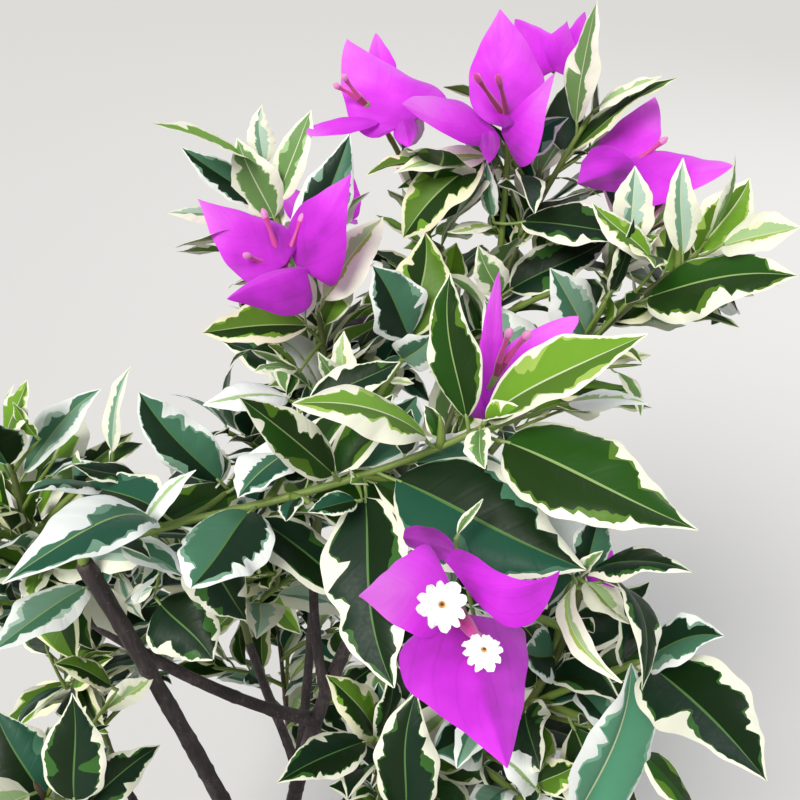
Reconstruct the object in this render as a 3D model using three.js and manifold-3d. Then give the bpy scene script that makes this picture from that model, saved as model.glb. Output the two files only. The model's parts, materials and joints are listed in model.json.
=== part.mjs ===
// A young bougainvillea bush with cream-edged leaves and magenta blooms, rooted in level ground.
// Millimetres, +Z up, +Y away from the viewer. The origin is the centre of the flat cut under the
// main stem. A woody stem forks into boughs, each bough carries one mass of shoots and leaves, and
// each bloom of three papery bracts stands on the tip of its own shoot.
import * as THREE from 'three';
import Module from 'manifold-3d';

const wasm = await Module();
wasm.setup();

// Driving dimensions of the wood
const FORK_HEIGHT = 80;
const STEM_RADIUS = 7;
const FLARE_RADIUS = 13;
const FLARE_HEIGHT = 9;
const STEM_RADII = [2, 1.4];
const SHOOT_RADII = [1.5, 1.15];
const SHORTEST_SHOOT = 12;
const SHOOT_REACH = 0.8;
const SEAT_GAP = 0.3;

// Driving dimensions of a leaf. A share is of the leaf's own length.
const LEAF_LENGTH = 50;
const LEAF_WIDTH_SHARE = 0.5;
const PETIOLE_SHARE = 0.12;
const LEAF_THICKNESS = 0.9;
const ROOT_THICKNESS = 1;
const LEAF_BAND = 2;
const LEAF_SPACING = 18;
const LEAF_TURN = 137.5;
const LEAF_CLEARANCE = 0.8;
const SHOWN_CLEARANCE = 0.5;
const SHOWN_FOLD = 0.3;
const STRETCHES = [1, 0.94, 1.06, 0.88, 1.12];
const KITE_WIDEST = 0.45;
const VIEW_SHARE = 0.8;
const LEAF_SHAPE = { fullness: 0.75, point: 1.15, low: 0.32, high: 0.66, middle: 0.5 };

// Driving dimensions of a bloom
const BRACT_LENGTH = 40;
const BRACT_WIDTH_SHARE = 0.78;
const BRACT_THICKNESS = 0.8;
const TUBE_LENGTH = 21;
const TUBE_RADIUS = 1.3;
const STAR_RADIUS = 6;
const STALK_LENGTH = 5;
const NECK_LENGTH = 2;
const BRACT_SHAPE = { fullness: 0.5, point: 0.85, low: 0.3, high: 0.66, middle: 0.48 };

// The viewpoint that sights are taken from: a level picture, tilted down
const EYE = new THREE.Vector3(70, -275, 695);
const PITCH = THREE.MathUtils.degToRad(35);
const PICTURE_CENTRE = 400;
const FOCAL_LENGTH = 898;
const AHEAD = new THREE.Vector3(0, Math.cos(PITCH), -Math.sin(PITCH));
const ACROSS = new THREE.Vector3(1, 0, 0);
const ABOVE = new THREE.Vector3(0, Math.sin(PITCH), Math.cos(PITCH));
const UP = new THREE.Vector3(0, 0, 1);
const CROWN_AXIS = new THREE.Vector3(45, 15, 0);

const at = (x, y, z) => new THREE.Vector3(x, y, z);
const heading = (x, y, z) => at(x, y, z).normalize();

/** The point that shows at (x, y) of the picture, so many millimetres ahead of the eye. */
function seen(x, y, depth) {
  const shift = depth / FOCAL_LENGTH;
  return EYE.clone()
    .addScaledVector(AHEAD, depth)
    .addScaledVector(ACROSS, (x - PICTURE_CENTRE) * shift)
    .addScaledVector(ABOVE, (PICTURE_CENTRE - y) * shift);
}

/** A direction given to the right, upward and towards the eye, as the picture shows it. */
function faced([right, upward, near]) {
  return at(0, 0, 0)
    .addScaledVector(ACROSS, right)
    .addScaledVector(ABOVE, upward)
    .addScaledVector(AHEAD, -near)
    .normalize();
}

/** The far end of a line of this length from root, on the sight line through (x, y). */
function sighted(root, [x, y], length, far) {
  const sight = seen(x, y, 1).sub(EYE).normalize();
  const back = EYE.clone().sub(root);
  const half = back.dot(sight);
  const spare = half * half - back.lengthSq() + length * length;
  const step = Math.sqrt(Math.max(spare, 0));
  return EYE.clone().addScaledVector(sight, -half + (far ? step : -step));
}

/** A repeatable stream of numbers from 0 to 1. */
function seeded(seed) {
  let state = seed >>> 0;
  return () => {
    state = (state + 0x6d2b79f5) >>> 0;
    let mixed = state;
    mixed = Math.imul(mixed ^ (mixed >>> 15), mixed | 1);
    mixed ^= mixed + Math.imul(mixed ^ (mixed >>> 7), mixed | 61);
    return ((mixed ^ (mixed >>> 14)) >>> 0) / 4294967296;
  };
}

const mix = (low, high, share) => low + (high - low) * share;

/** The part of a direction that is square to a unit axis. */
function squared(direction, axis) {
  return direction.clone().addScaledVector(axis, -direction.dot(axis)).normalize();
}

/** A closed solid from corner points and triangles that face out. */
function solidOf(corners, faces) {
  const vertProperties = new Float32Array(corners.flatMap((corner) => corner.toArray()));
  const triVerts = new Uint32Array(faces.flat());
  return new wasm.Manifold(new wasm.Mesh({ numProp: 3, vertProperties, triVerts }));
}

/**
 * A tapering limb: rings of corners along a curve, closed by a flat face at each end. Grown, it
 * stands that much further out on all sides.
 */
function limbSolid(curve, { rings, sides, radiusAt, grown = 0 }) {
  const frames = curve.computeFrenetFrames(rings, false);
  const corners = [];
  const faces = [];
  for (let ring = 0; ring <= rings; ring++) {
    const share = ring / rings;
    const centre = curve.getPoint(share);
    const tangent = curve.getTangent(share);
    const normal = squared(frames.normals[ring], tangent);
    const side = tangent.clone().cross(normal);
    if (ring === 0) centre.addScaledVector(tangent, -grown);
    if (ring === rings) centre.addScaledVector(tangent, grown);
    for (let k = 0; k < sides; k++) {
      const angle = (2 * Math.PI * k) / sides;
      const radius = radiusAt(share, angle) + grown;
      corners.push(centre.clone()
        .addScaledVector(normal, Math.cos(angle) * radius)
        .addScaledVector(side, Math.sin(angle) * radius));
    }
  }
  for (let ring = 0; ring < rings; ring++) {
    for (let k = 0; k < sides; k++) {
      const here = ring * sides + k;
      const next = ring * sides + (k + 1) % sides;
      faces.push([here, next, next + sides], [here, next + sides, here + sides]);
    }
  }
  const last = rings * sides;
  for (let k = 1; k < sides - 1; k++) {
    faces.push([0, k + 1, k], [last, last + k, last + k + 1]);
  }
  return solidOf(corners, faces);
}

const taper = (first, last) => (share) => mix(first, last, share);

/** Half the width of a blade at a share of its length: full near the base, drawn to a point. */
function bladeWidth(share, petiole, fullness, point) {
  const along = Math.min(Math.max((share - petiole) / (1 - petiole), 0), 1);
  const peak = fullness / (fullness + point);
  const widest = peak ** fullness * (1 - peak) ** point;
  return along ** fullness * (1 - along) ** point / widest;
}

/** The lines of a blade: its midrib bows up and its two halves fold up from the midrib. */
function bladeLines({ root, tip, facing, width, fold, arch, petiole, shape }) {
  const length = root.distanceTo(tip);
  const ahead = tip.clone().sub(root).normalize();
  const over = squared(facing, ahead);
  const right = ahead.clone().cross(over);
  const midrib = (share) => root.clone()
    .addScaledVector(ahead, length * share)
    .addScaledVector(over, 4 * arch * length * share * (1 - share));
  const margin = (share, side, swell) => {
    const half = width / 2 * bladeWidth(share, petiole, shape.fullness, shape.point);
    return midrib(share)
      .addScaledVector(right, side * (half + swell) * Math.cos(fold))
      .addScaledVector(over, half * Math.sin(fold));
  };
  const rootEdge = (share, swell) => [
    midrib(share).addScaledVector(over, ROOT_THICKNESS / 2 + swell),
    midrib(share).addScaledVector(over, -ROOT_THICKNESS / 2 - swell),
  ];
  return { ahead, over, midrib, margin, root: rootEdge };
}

/** A leaf or bract as a thin solid: a root edge, four margin corners, a tip, a raised middle. */
function bladeSolid(blade, { swell = 0, from = 0 } = {}) {
  const { ahead, over, midrib, margin, root } = bladeLines(blade);
  const { low, high, middle } = blade.shape;
  const lift = blade.thickness / 2 + swell;
  const corners = [
    ...root(from, swell),
    margin(low, -1, swell), margin(low, 1, swell),
    margin(high, -1, swell), margin(high, 1, swell),
    blade.tip.clone().addScaledVector(ahead, swell),
    midrib(middle).addScaledVector(over, lift),
    midrib(middle).addScaledVector(over, -lift),
  ];
  return solidOf(corners, [
    [7, 0, 3], [7, 3, 5], [7, 5, 6], [7, 6, 4], [7, 4, 2], [7, 2, 0],
    [8, 3, 1], [8, 5, 3], [8, 6, 5], [8, 4, 6], [8, 2, 4], [8, 1, 2],
    [0, 1, 3], [1, 0, 2],
  ]);
}

/** A plainer leaf of 6 faces: a root edge, one corner on each margin and a tip. */
function kiteSolid(blade, { swell = 0, from = 0 } = {}) {
  const { ahead, margin, root } = bladeLines(blade);
  const corners = [
    ...root(from, swell),
    margin(KITE_WIDEST, -1, swell), margin(KITE_WIDEST, 1, swell),
    blade.tip.clone().addScaledVector(ahead, swell),
  ];
  return solidOf(corners, [[0, 3, 4], [0, 4, 2], [1, 4, 3], [1, 2, 4], [0, 1, 3], [1, 0, 2]]);
}

/** The corners of a leaf beyond its base, and the triangles from its base loop to them. */
function leafPatch(blade, loop, first) {
  const { over, midrib, margin } = bladeLines(blade);
  const [p0, p1, p2, p3] = loop;
  if (blade.solid === kiteSolid) {
    const [left, right, tip] = [first, first + 1, first + 2];
    return {
      corners: [margin(KITE_WIDEST, -1, 0), margin(KITE_WIDEST, 1, 0), blade.tip],
      faces: [
        [p0, p1, tip], [p2, p3, tip], [p1, p2, left], [p3, p0, right],
        [p1, left, tip], [left, p2, tip], [p3, right, tip], [right, p0, tip],
      ],
    };
  }
  const { low, high, middle } = blade.shape;
  const corners = [
    margin(low, -1, 0), margin(low, 1, 0), margin(high, -1, 0), margin(high, 1, 0), blade.tip,
    midrib(middle).addScaledVector(over, blade.thickness / 2),
    midrib(middle).addScaledVector(over, -blade.thickness / 2),
  ];
  const [lowLeft, lowRight, highLeft, highRight, tip, upper, lower] = corners.map((_, k) => first + k);
  const under = [p0, p1, lowLeft, highLeft, tip, highRight, lowRight];
  const above = [p2, p3, lowRight, highRight, tip, highLeft, lowLeft];
  const fan = (hub, rim) => rim.map((corner, k) => [hub, corner, rim[(k + 1) % rim.length]]);
  const sides = [[p1, p2, lowLeft], [p3, p0, lowRight]];
  return { corners, faces: [...sides, ...fan(lower, under), ...fan(upper, above)] };
}

/**
 * A shoot and its leaves as one skin. The shoot is three-sided. Each leaf grows out of its own
 * short band, from the side of the shoot that faces the leaf, so their surfaces are one.
 */
function leafyShootSolid(shoot) {
  const { curve, radii, rings, blades } = shoot;
  const length = curve.getLength();
  const half = LEAF_BAND / 2 / length;
  const bands = blades.map((blade) => ({ blade, share: blade.share })).sort((a, b) => a.share - b.share);
  bands.reduceRight((limit, band) => {
    band.share = Math.min(band.share, limit);
    return band.share - 3 * half;
  }, 1 - 1.5 * half);
  const stops = bands.flatMap((band) => [{ share: band.share - half, band }, { share: band.share + half }]);
  for (let ring = 0; ring <= rings; ring++) {
    const share = ring / rings;
    if (bands.every((band) => Math.abs(band.share - share) > 2.2 * half)) stops.push({ share });
  }
  stops.sort((a, b) => a.share - b.share);
  const corners = [];
  const faces = [];
  const patches = [];
  let normal = roundabout(curve.getTangent(0))[0];
  let phase = 0;
  stops.forEach((stop, ring) => {
    const share = Math.min(Math.max(stop.share, 0), 1);
    const tangent = curve.getTangent(share);
    normal = squared(normal, tangent);
    const side = tangent.clone().cross(normal);
    if (stop.band) {
      const { tip, root } = stop.band.blade;
      const out = squared(tip.clone().sub(root), tangent);
      const wanted = Math.atan2(out.dot(side), out.dot(normal)) - Math.PI / 3;
      const turns = Math.round((phase - wanted) / (2 * Math.PI / 3));
      phase = wanted + turns * 2 * Math.PI / 3;
      patches.push({ blade: stop.band.blade, ring, face: ((-turns % 3) + 3) % 3 });
    }
    const radius = mix(...radii, share);
    for (let k = 0; k < 3; k++) {
      const angle = phase + k * 2 * Math.PI / 3;
      corners.push(curve.getPoint(share)
        .addScaledVector(normal, Math.cos(angle) * radius)
        .addScaledVector(side, Math.sin(angle) * radius));
    }
  });
  for (let ring = 0; ring < stops.length - 1; ring++) {
    for (let k = 0; k < 3; k++) {
      const [a, b] = [3 * ring + k, 3 * ring + (k + 1) % 3];
      const patch = patches.find((one) => one.ring === ring && one.face === k);
      if (!patch) {
        faces.push([a, b, b + 3], [a, b + 3, a + 3]);
        continue;
      }
      const { ahead, over } = bladeLines(patch.blade);
      const lower = ahead.clone().cross(over).sub(over);
      const loop = [a, b, b + 3, a + 3];
      const reach = loop.map((corner) => corners[corner].dot(lower));
      const turn = reach.indexOf(Math.max(...reach));
      const turned = loop.map((_, step) => loop[(step + turn) % 4]);
      const leaf = leafPatch(patch.blade, turned, corners.length);
      corners.push(...leaf.corners);
      faces.push(...leaf.faces);
    }
  }
  const last = 3 * (stops.length - 1);
  faces.push([0, 2, 1], [last, last + 1, last + 2]);
  return solidOf(corners, faces);
}

// Wood: the main stem and the boughs that leave it. Each bough starts on its parent's axis, bends
// by two handles and ends at the foot of one mass of foliage.
const STEM = {
  name: 'main_stem',
  curve: new THREE.CubicBezierCurve3(at(0, 0, 0), at(0, 0, 28), at(0, 0, 54), at(5, -5, FORK_HEIGHT)),
};

const BOUGHS = [
  { name: 'bough_centre', parent: 'main_stem', leaves: 0.97, radii: [5, 2.9], rings: 10,
    handles: [at(0, -14, 190), at(12, -26, 300)], tip: at(56, 10, 385) },
  { name: 'bough_left', parent: 'main_stem', leaves: 0.93, radii: [4.7, 2.8], rings: 9,
    handles: [at(3, -28, 170), at(-2, -57, 325)], tip: seen(84, 563, 300) },
  { name: 'bough_side', parent: 'bough_centre', leaves: 0.76, radii: [3.2, 2], rings: 6,
    handles: [at(2, -16, 337), at(-35, -22, 375)], tip: seen(60, 600, 355) },
  { name: 'bough_top_left', parent: 'bough_centre', leaves: 0.82, radii: [2.7, 2], rings: 4,
    handles: [at(33, -7, 352), at(30, 0, 375)], tip: at(31, 12, 396) },
  { name: 'bough_inner', parent: 'bough_centre', leaves: 0.62, radii: [2.6, 2], rings: 5,
    handles: [at(14, 2, 285), at(2, 12, 310)], tip: at(-4, 18, 344) },
  { name: 'bough_top_right', parent: 'bough_centre', leaves: 0.92, radii: [2.6, 2], rings: 4,
    handles: [at(62, 8, 390), at(80, 20, 402)], tip: at(92, 32, 418) },
  { name: 'bough_front_right', parent: 'bough_centre', leaves: 0.4, radii: [3.9, 2.2], rings: 7,
    handles: [at(22, -24, 256), at(68, -44, 310)], tip: at(96, -60, 358) },
  { name: 'bough_front_low', parent: 'bough_front_right', leaves: 0.42, radii: [2.6, 2], rings: 5,
    handles: [at(42, -46, 290), at(56, -64, 310)], tip: at(58, -68, 340) },
  { name: 'bough_left_low', parent: 'bough_left', leaves: 0.24, radii: [2.9, 2], rings: 6,
    handles: [at(-16, -46, 170), at(-58, -66, 220)], tip: at(-64, -76, 286) },
  { name: 'bough_left_under', parent: 'main_stem', leaves: 0.72, radii: [2.8, 2], rings: 5,
    handles: [at(-18, -10, 78), at(-46, -22, 92)], tip: at(-58, -30, 128) },
  { name: 'bough_front_under', parent: 'main_stem', leaves: 0.84, radii: [2.9, 2], rings: 5,
    handles: [at(8, -28, 96), at(24, -62, 124)], tip: at(26, -76, 166) },
  { name: 'bough_right_front', parent: 'bough_front_right', leaves: 0.34, radii: [2.5, 2], rings: 5,
    handles: [at(52, -36, 268), at(88, -56, 262)], tip: at(114, -74, 286) },
  { name: 'bough_right_low', parent: 'main_stem', leaves: 0.9, radii: [3, 2], rings: 6,
    handles: [at(28, 0, 108), at(66, 10, 118)], tip: at(84, 16, 142) },
  { name: 'bough_back', parent: 'bough_centre', leaves: 0.36, radii: [3.2, 2.1], rings: 6,
    handles: [at(14, 20, 240), at(20, 60, 284)], tip: at(22, 78, 330) },
  { name: 'bough_back_right', parent: 'bough_centre', leaves: 0.28, radii: [2.9, 2], rings: 6,
    handles: [at(36, 16, 208), at(76, 58, 222)], tip: at(88, 72, 252) },
  { name: 'bough_back_low', parent: 'main_stem', leaves: 0.8, radii: [3, 2], rings: 6,
    handles: [at(4, 22, 98), at(2, 58, 126)], tip: at(-2, 76, 160) },
  { name: 'bough_left_back', parent: 'main_stem', leaves: 0.86, radii: [3.2, 2.1], rings: 7,
    handles: [at(-40, 6, 100), at(-84, 16, 164)], tip: at(-94, 28, 232) },
];

// Foliage: one mass on the tip of each bough. Its stem grows on from the bough. Shoots leave the
// stem, either where the picture shows one or by the seeded rule, and leaves stand on both alike.
// A leaf that the picture shows is given by the place of its tip, its length and the way it faces.
const MASSES = [
  {
    name: 'foliage_front_centre', bough: 'bough_left', seed: 11,
    centre: seen(300, 500, 320), reach: [95, 45, 50],
    stem: { lead: 15, by: seen(300, 515, 312), to: seen(478, 430, 286) },
    leaves: [
      { on: 0.33, tip: [196, 470], long: 34, wide: 0.36, face: [-0.8, 0.2, 0.5] },
      { on: 0.37, tip: [212, 659], long: 46, wide: 0.5, face: [-0.3, 0.3, 0.9] },
      { on: 0.44, tip: [247, 621], long: 46, face: [0.1, 0.6, 0.8], far: true },
      { on: 0.4, tip: [2, 584], long: 66, face: [0.1, 0.75, 0.65], arch: 0.18, wide: 0.4 },
      { on: 0.43, tip: [84, 482], long: 50, face: [0, 0.8, 0.6], arch: 0.1, far: true, wide: 0.4 },
      { on: 0.6, tip: [191, 588], long: 44, wide: 0.66, face: [-0.2, 0.3, 0.93] },
      { on: 0.76, tip: [239, 397], long: 57, wide: 0.4, face: [-0.25, 0.4, 0.88] },
      { on: 0.8, tip: [394, 688], long: 68, wide: 0.44, face: [-0.35, 0.25, 0.9] },
      { on: 0.82, tip: [586, 570], long: 76, wide: 0.5, face: [0.05, 0.35, 0.93] },
      { on: 0.93, tip: [292, 404], long: 54, wide: 0.36, face: [0, 0.85, 0.5], arch: 0.1 },
      { on: 0.985, tip: [450, 273], long: 54, wide: 0.38, face: [-0.3, 0.1, 0.95] },
      { on: 0.99, tip: [648, 334], long: 66, face: [-0.1, 0.6, 0.75], arch: 0.08, wide: 0.4 },
      { on: 0.995, tip: [698, 530], long: 78, wide: 0.4, face: [-0.15, 0.5, 0.85], petiole: 0.17 },
    ],
    shoots: [
      { from: 0.43, to: seen(229, 490, 320), leaves: [
        { on: 1, tip: [139, 392], long: 50, face: [-0.3, 0.35, 0.88], wide: 0.46 },
      ] },
      { from: 0.62, to: seen(297, 402, 330), leaves: [
        { on: 1, tip: [203, 405], long: 36, face: [0, 0.8, 0.6], arch: 0.12 },
        { on: 0.55, tip: [240, 498], long: 34, face: [-0.2, 0.5, 0.8], wide: 0.4 },
        { on: 0.9, tip: [400, 362], long: 36, face: [0.1, 0.6, 0.8], wide: 0.44 },
      ] },
    ],
    fill: { count: 6, long: [36, 60] },
  },
  {
    name: 'foliage_left', bough: 'bough_side', seed: 23,
    centre: seen(20, 530, 352), reach: [68, 56, 62],
    stem: { lead: 18, by: seen(34, 540, 348), to: seen(5, 446, 335) },
    leaves: [
      { on: 0.85, tip: [101, 389], long: 46, face: [-0.2, 0.6, 0.7], wide: 0.42 },
      { on: 1, tip: [27, 380], long: 30, face: [-0.3, 0.5, 0.8] },
      { on: 0.9, tip: [-30, 420], long: 44, face: [0, 0.7, 0.7] },
      { on: 0.5, tip: [-12, 556], long: 44, face: [0, 0.6, 0.8] },
      { on: 0.3, tip: [-24, 652], long: 52, face: [0, 0.8, 0.6] },
    ],
    shoots: [
      { from: 0.55, to: seen(112, 462, 335), leaves: [
        { on: 1, tip: [131, 366], long: 40, wide: 0.4, face: [-0.7, 0.1, 0.7] },
      ] },
    ],
    fill: { count: 6, long: [36, 60] },
  },
  {
    name: 'foliage_left_low', bough: 'bough_left_low', seed: 31,
    centre: at(-68, -84, 352), reach: [62, 52, 66],
    stem: { lead: 30, by: at(-60, -82, 350), to: at(-64, -86, 392) },
    leaves: [
      { on: 1, tip: [72, 694], long: 46, face: [0, 0.2, 1] },
      { on: 0.8, tip: [-6, 708], long: 40, wide: 0.6, face: [0.1, 0.5, 0.85] },
      { on: 0.7, tip: [160, 745], long: 38, face: [0.1, 0.6, 0.8] },
    ],
    shoots: [],
    fill: { count: 6, long: [38, 64] },
  },
  {
    name: 'foliage_inner', bough: 'bough_inner', seed: 43,
    centre: at(-8, 28, 388), reach: [62, 54, 58],
    stem: { lead: 16, by: at(-10, 28, 385), to: at(-2, 30, 412) },
    leaves: [], shoots: [],
    fill: { count: 6, long: [38, 62] },
  },
  {
    name: 'foliage_top_left', bough: 'bough_top_left', seed: 53,
    centre: seen(300, 285, 378), reach: [66, 56, 74],
    stem: { lead: 20, by: seen(336, 404, 390), to: seen(318, 312, 366) },
    leaves: [
      { on: 0.95, tip: [202, 333], long: 48, face: [0, 0.7, 0.7] },
      { on: 0.7, tip: [253, 333], long: 40, face: [0, 0.85, 0.5], arch: 0.18 },
      { on: 1, tip: [383, 217], long: 47, wide: 0.6, face: [-0.5, 0.4, 0.8] },
    ],
    shoots: [
      { from: 0.6, to: seen(264, 172, 380), leaves: [
        { on: 1, tip: [151, 123], long: 58, face: [-0.35, 0.2, 0.9], wide: 0.42 },
        { on: 1, tip: [262, 105], long: 28, wide: 0.4, face: [0, 0, 1] },
        { on: 0.9, tip: [237, 138], long: 38, wide: 0.55, face: [0.1, 0, 1] },
        { on: 0.9, tip: [311, 110], long: 36, wide: 0.45, face: [-0.6, 0.3, 0.7] },
        { on: 0.7, tip: [350, 133], long: 48, wide: 0.38, face: [0.3, 0.1, 0.9] },
        { on: 0.8, tip: [167, 213], long: 50, wide: 0.42, face: [0, 0.7, 0.7] },
      ] },
      { from: 0.4, to: seen(412, 345, 366), leaves: [
        { on: 1, tip: [372, 265], long: 40, wide: 0.62, face: [0.1, 0.3, 0.95] },
        { on: 0.9, tip: [432, 335], long: 34, wide: 0.5, face: [0.3, 0.2, 0.9] },
        { on: 0.95, tip: [425, 232], long: 50, wide: 0.5, face: [0, 0.4, 0.9], far: true },
      ] },
    ],
    fill: { count: 6, long: [34, 56] },
  },
  {
    name: 'foliage_top_back', bough: 'bough_centre', seed: 61,
    centre: seen(505, 250, 405), reach: [72, 60, 92],
    stem: { lead: 40, by: seen(505, 300, 408), to: seen(540, 168, 382) },
    leaves: [
      { on: 0.85, tip: [398, 234], long: 60, wide: 0.48, face: [-0.1, 0.5, 0.85] },
      { on: 0.72, tip: [612, 238], long: 54, wide: 0.44, face: [0, 0.45, 0.9] },
    ],
    shoots: [
      { from: 0.85, to: seen(592, 112, 374), leaves: [
        { on: 0.8, tip: [597, 0], long: 54, wide: 0.36, face: [-0.8, 0, 0.6] },
        { on: 1, tip: [662, 76], long: 32, wide: 0.42, face: [0.1, 0.6, 0.8] },
        { on: 0.6, tip: [679, 77], long: 50, wide: 0.4, face: [0, 0.8, 0.6] },
      ] },
    ],
    fill: { count: 6, long: [40, 66] },
  },
  {
    name: 'foliage_top_right', bough: 'bough_top_right', seed: 71,
    centre: seen(620, 295, 382), reach: [72, 56, 62],
    stem: { lead: 26, by: seen(600, 312, 370), to: seen(698, 256, 353) },
    leaves: [
      { on: 0.66, tip: [550, 268], long: 46, face: [-0.2, 0.4, 0.9] },
      { on: 0.8, tip: [798, 276], long: 72, wide: 0.44, face: [-0.1, 0.45, 0.88] },
      { on: 0.95, tip: [683, 158], long: 36, wide: 0.36, face: [-0.4, 0.1, 0.9] },
      { on: 0.97, tip: [750, 178], long: 36, wide: 0.42, face: [0.6, 0.2, 0.7] },
      { on: 0.99, tip: [800, 227], long: 44, wide: 0.42, face: [0, 0.6, 0.75] },
      { on: 0.5, tip: [484, 300], long: 52, wide: 0.5, face: [-0.1, 0.6, 0.8], far: true },
    ],
    shoots: [
      { from: 0.6, to: seen(641, 222, 352), leaves: [
        { on: 1, tip: [636, 166], long: 24, wide: 0.75, face: [0, 0, 1] },
        { on: 0.8, tip: [655, 268], long: 40, wide: 0.5, face: [0.3, 0.4, 0.8] },
      ] },
    ],
    fill: { count: 6, long: [36, 60] },
  },
  {
    name: 'foliage_front_right', bough: 'bough_front_right', seed: 83,
    centre: seen(590, 690, 308), reach: [64, 50, 64],
    stem: { lead: 24, by: seen(572, 660, 302), to: seen(583, 574, 273) },
    leaves: [
      { on: 1, tip: [692, 572], long: 42, wide: 0.42, face: [0, 0.8, 0.6], arch: 0.08 },
      { on: 0.97, tip: [622, 683], long: 50, wide: 0.34, face: [-0.7, 0.3, 0.6], arch: 0.2 },
      { on: 0.98, tip: [642, 690], long: 54, wide: 0.34, face: [0.6, 0.5, 0.6], arch: 0.24 },
      { on: 0.7, tip: [521, 650], long: 34, wide: 0.5, face: [0, 0.4, 0.9] },
      { on: 0.5, tip: [540, 771], long: 48, wide: 0.42, face: [-0.3, 0.1, 0.95] },
      { on: 0.94, tip: [522, 484], long: 48, wide: 0.5, face: [0.1, 0.6, 0.8], far: true },
      { on: 0.96, tip: [604, 503], long: 28, wide: 0.4, face: [0, 0.4, 0.9] },
    ],
    shoots: [
      { from: 0.5, to: seen(643, 660, 284), leaves: [
        { on: 0.95, tip: [724, 636], long: 34, wide: 0.5, face: [0.1, 0.6, 0.8] },
        { on: 1, tip: [767, 781], long: 58, wide: 0.46, face: [0.1, 0.3, 0.95] },
      ] },
      { from: 0.12, to: seen(556, 828, 292), leaves: [
        { on: 1, tip: [631, 663], long: 60, wide: 0.5, face: [-0.2, 0.1, 0.95] },
      ] },
    ],
    fill: { count: 6, long: [34, 56] },
  },
  {
    name: 'foliage_front_low', bough: 'bough_front_low', seed: 97,
    centre: at(56, -80, 376), reach: [58, 48, 58],
    stem: { lead: 12, by: seen(384, 775, 342), to: seen(375, 738, 332) },
    leaves: [
      { on: 1, tip: [277, 783], long: 44, face: [0, 0.7, 0.7] },
      { on: 0.98, tip: [326, 675], long: 40, wide: 0.42, face: [0.3, 0.6, 0.7], arch: 0.12 },
      { on: 0.95, tip: [390, 673], long: 34, wide: 0.36, face: [0.7, 0.1, 0.7] },
      { on: 0.1, tip: [417, 690], long: 46, wide: 0.5, face: [0, 0.1, 1] },
    ],
    shoots: [],
    fill: { count: 6, long: [34, 54] },
  },
  {
    name: 'foliage_left_under', bough: 'bough_left_under', seed: 103,
    centre: at(-76, -44, 200), reach: [70, 64, 74],
    stem: { lead: 20, by: at(-72, -42, 190), to: at(-80, -48, 238) },
    leaves: [], shoots: [],
    fill: { count: 6, long: [46, 72] },
  },
  {
    name: 'foliage_front_under', bough: 'bough_front_under', seed: 101,
    centre: at(30, -100, 236), reach: [76, 62, 80],
    stem: { lead: 20, by: at(28, -100, 226), to: at(34, -112, 282) },
    leaves: [], shoots: [],
    fill: { count: 6, long: [50, 78] },
  },
  {
    name: 'foliage_right_front', bough: 'bough_right_front', seed: 113,
    centre: at(134, -84, 318), reach: [66, 56, 62],
    stem: { lead: 16, by: at(134, -86, 306), to: at(142, -94, 346) },
    leaves: [], shoots: [],
    fill: { count: 6, long: [38, 62] },
  },
  {
    name: 'foliage_right_low', bough: 'bough_right_low', seed: 127,
    centre: at(118, 20, 196), reach: [82, 70, 72],
    stem: { lead: 20, by: at(112, 20, 178), to: at(128, 24, 226) },
    leaves: [], shoots: [],
    fill: { count: 6, long: [50, 80] },
  },
  {
    name: 'foliage_back', bough: 'bough_back', seed: 139,
    centre: at(24, 112, 410), reach: [78, 64, 96],
    stem: { lead: 24, by: at(22, 112, 400), to: at(30, 134, 470) },
    leaves: [], shoots: [],
    fill: { count: 8, long: [50, 80] },
  },
  {
    name: 'foliage_back_right', bough: 'bough_back_right', seed: 149,
    centre: at(122, 96, 312), reach: [80, 70, 76],
    stem: { lead: 22, by: at(114, 98, 300), to: at(132, 120, 352) },
    leaves: [], shoots: [],
    fill: { count: 6, long: [50, 80] },
  },
  {
    name: 'foliage_back_low', bough: 'bough_back_low', seed: 157,
    centre: at(-4, 108, 228), reach: [86, 70, 82],
    stem: { lead: 22, by: at(-6, 102, 214), to: at(-10, 124, 282) },
    leaves: [], shoots: [],
    fill: { count: 6, long: [50, 80] },
  },
  {
    name: 'foliage_left_back', bough: 'bough_left_back', seed: 167,
    centre: at(-100, 42, 322), reach: [66, 68, 98],
    stem: { lead: 24, by: at(-102, 42, 300), to: at(-104, 52, 376) },
    leaves: [], shoots: [],
    fill: { count: 6, long: [50, 78] },
  },
];

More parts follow.
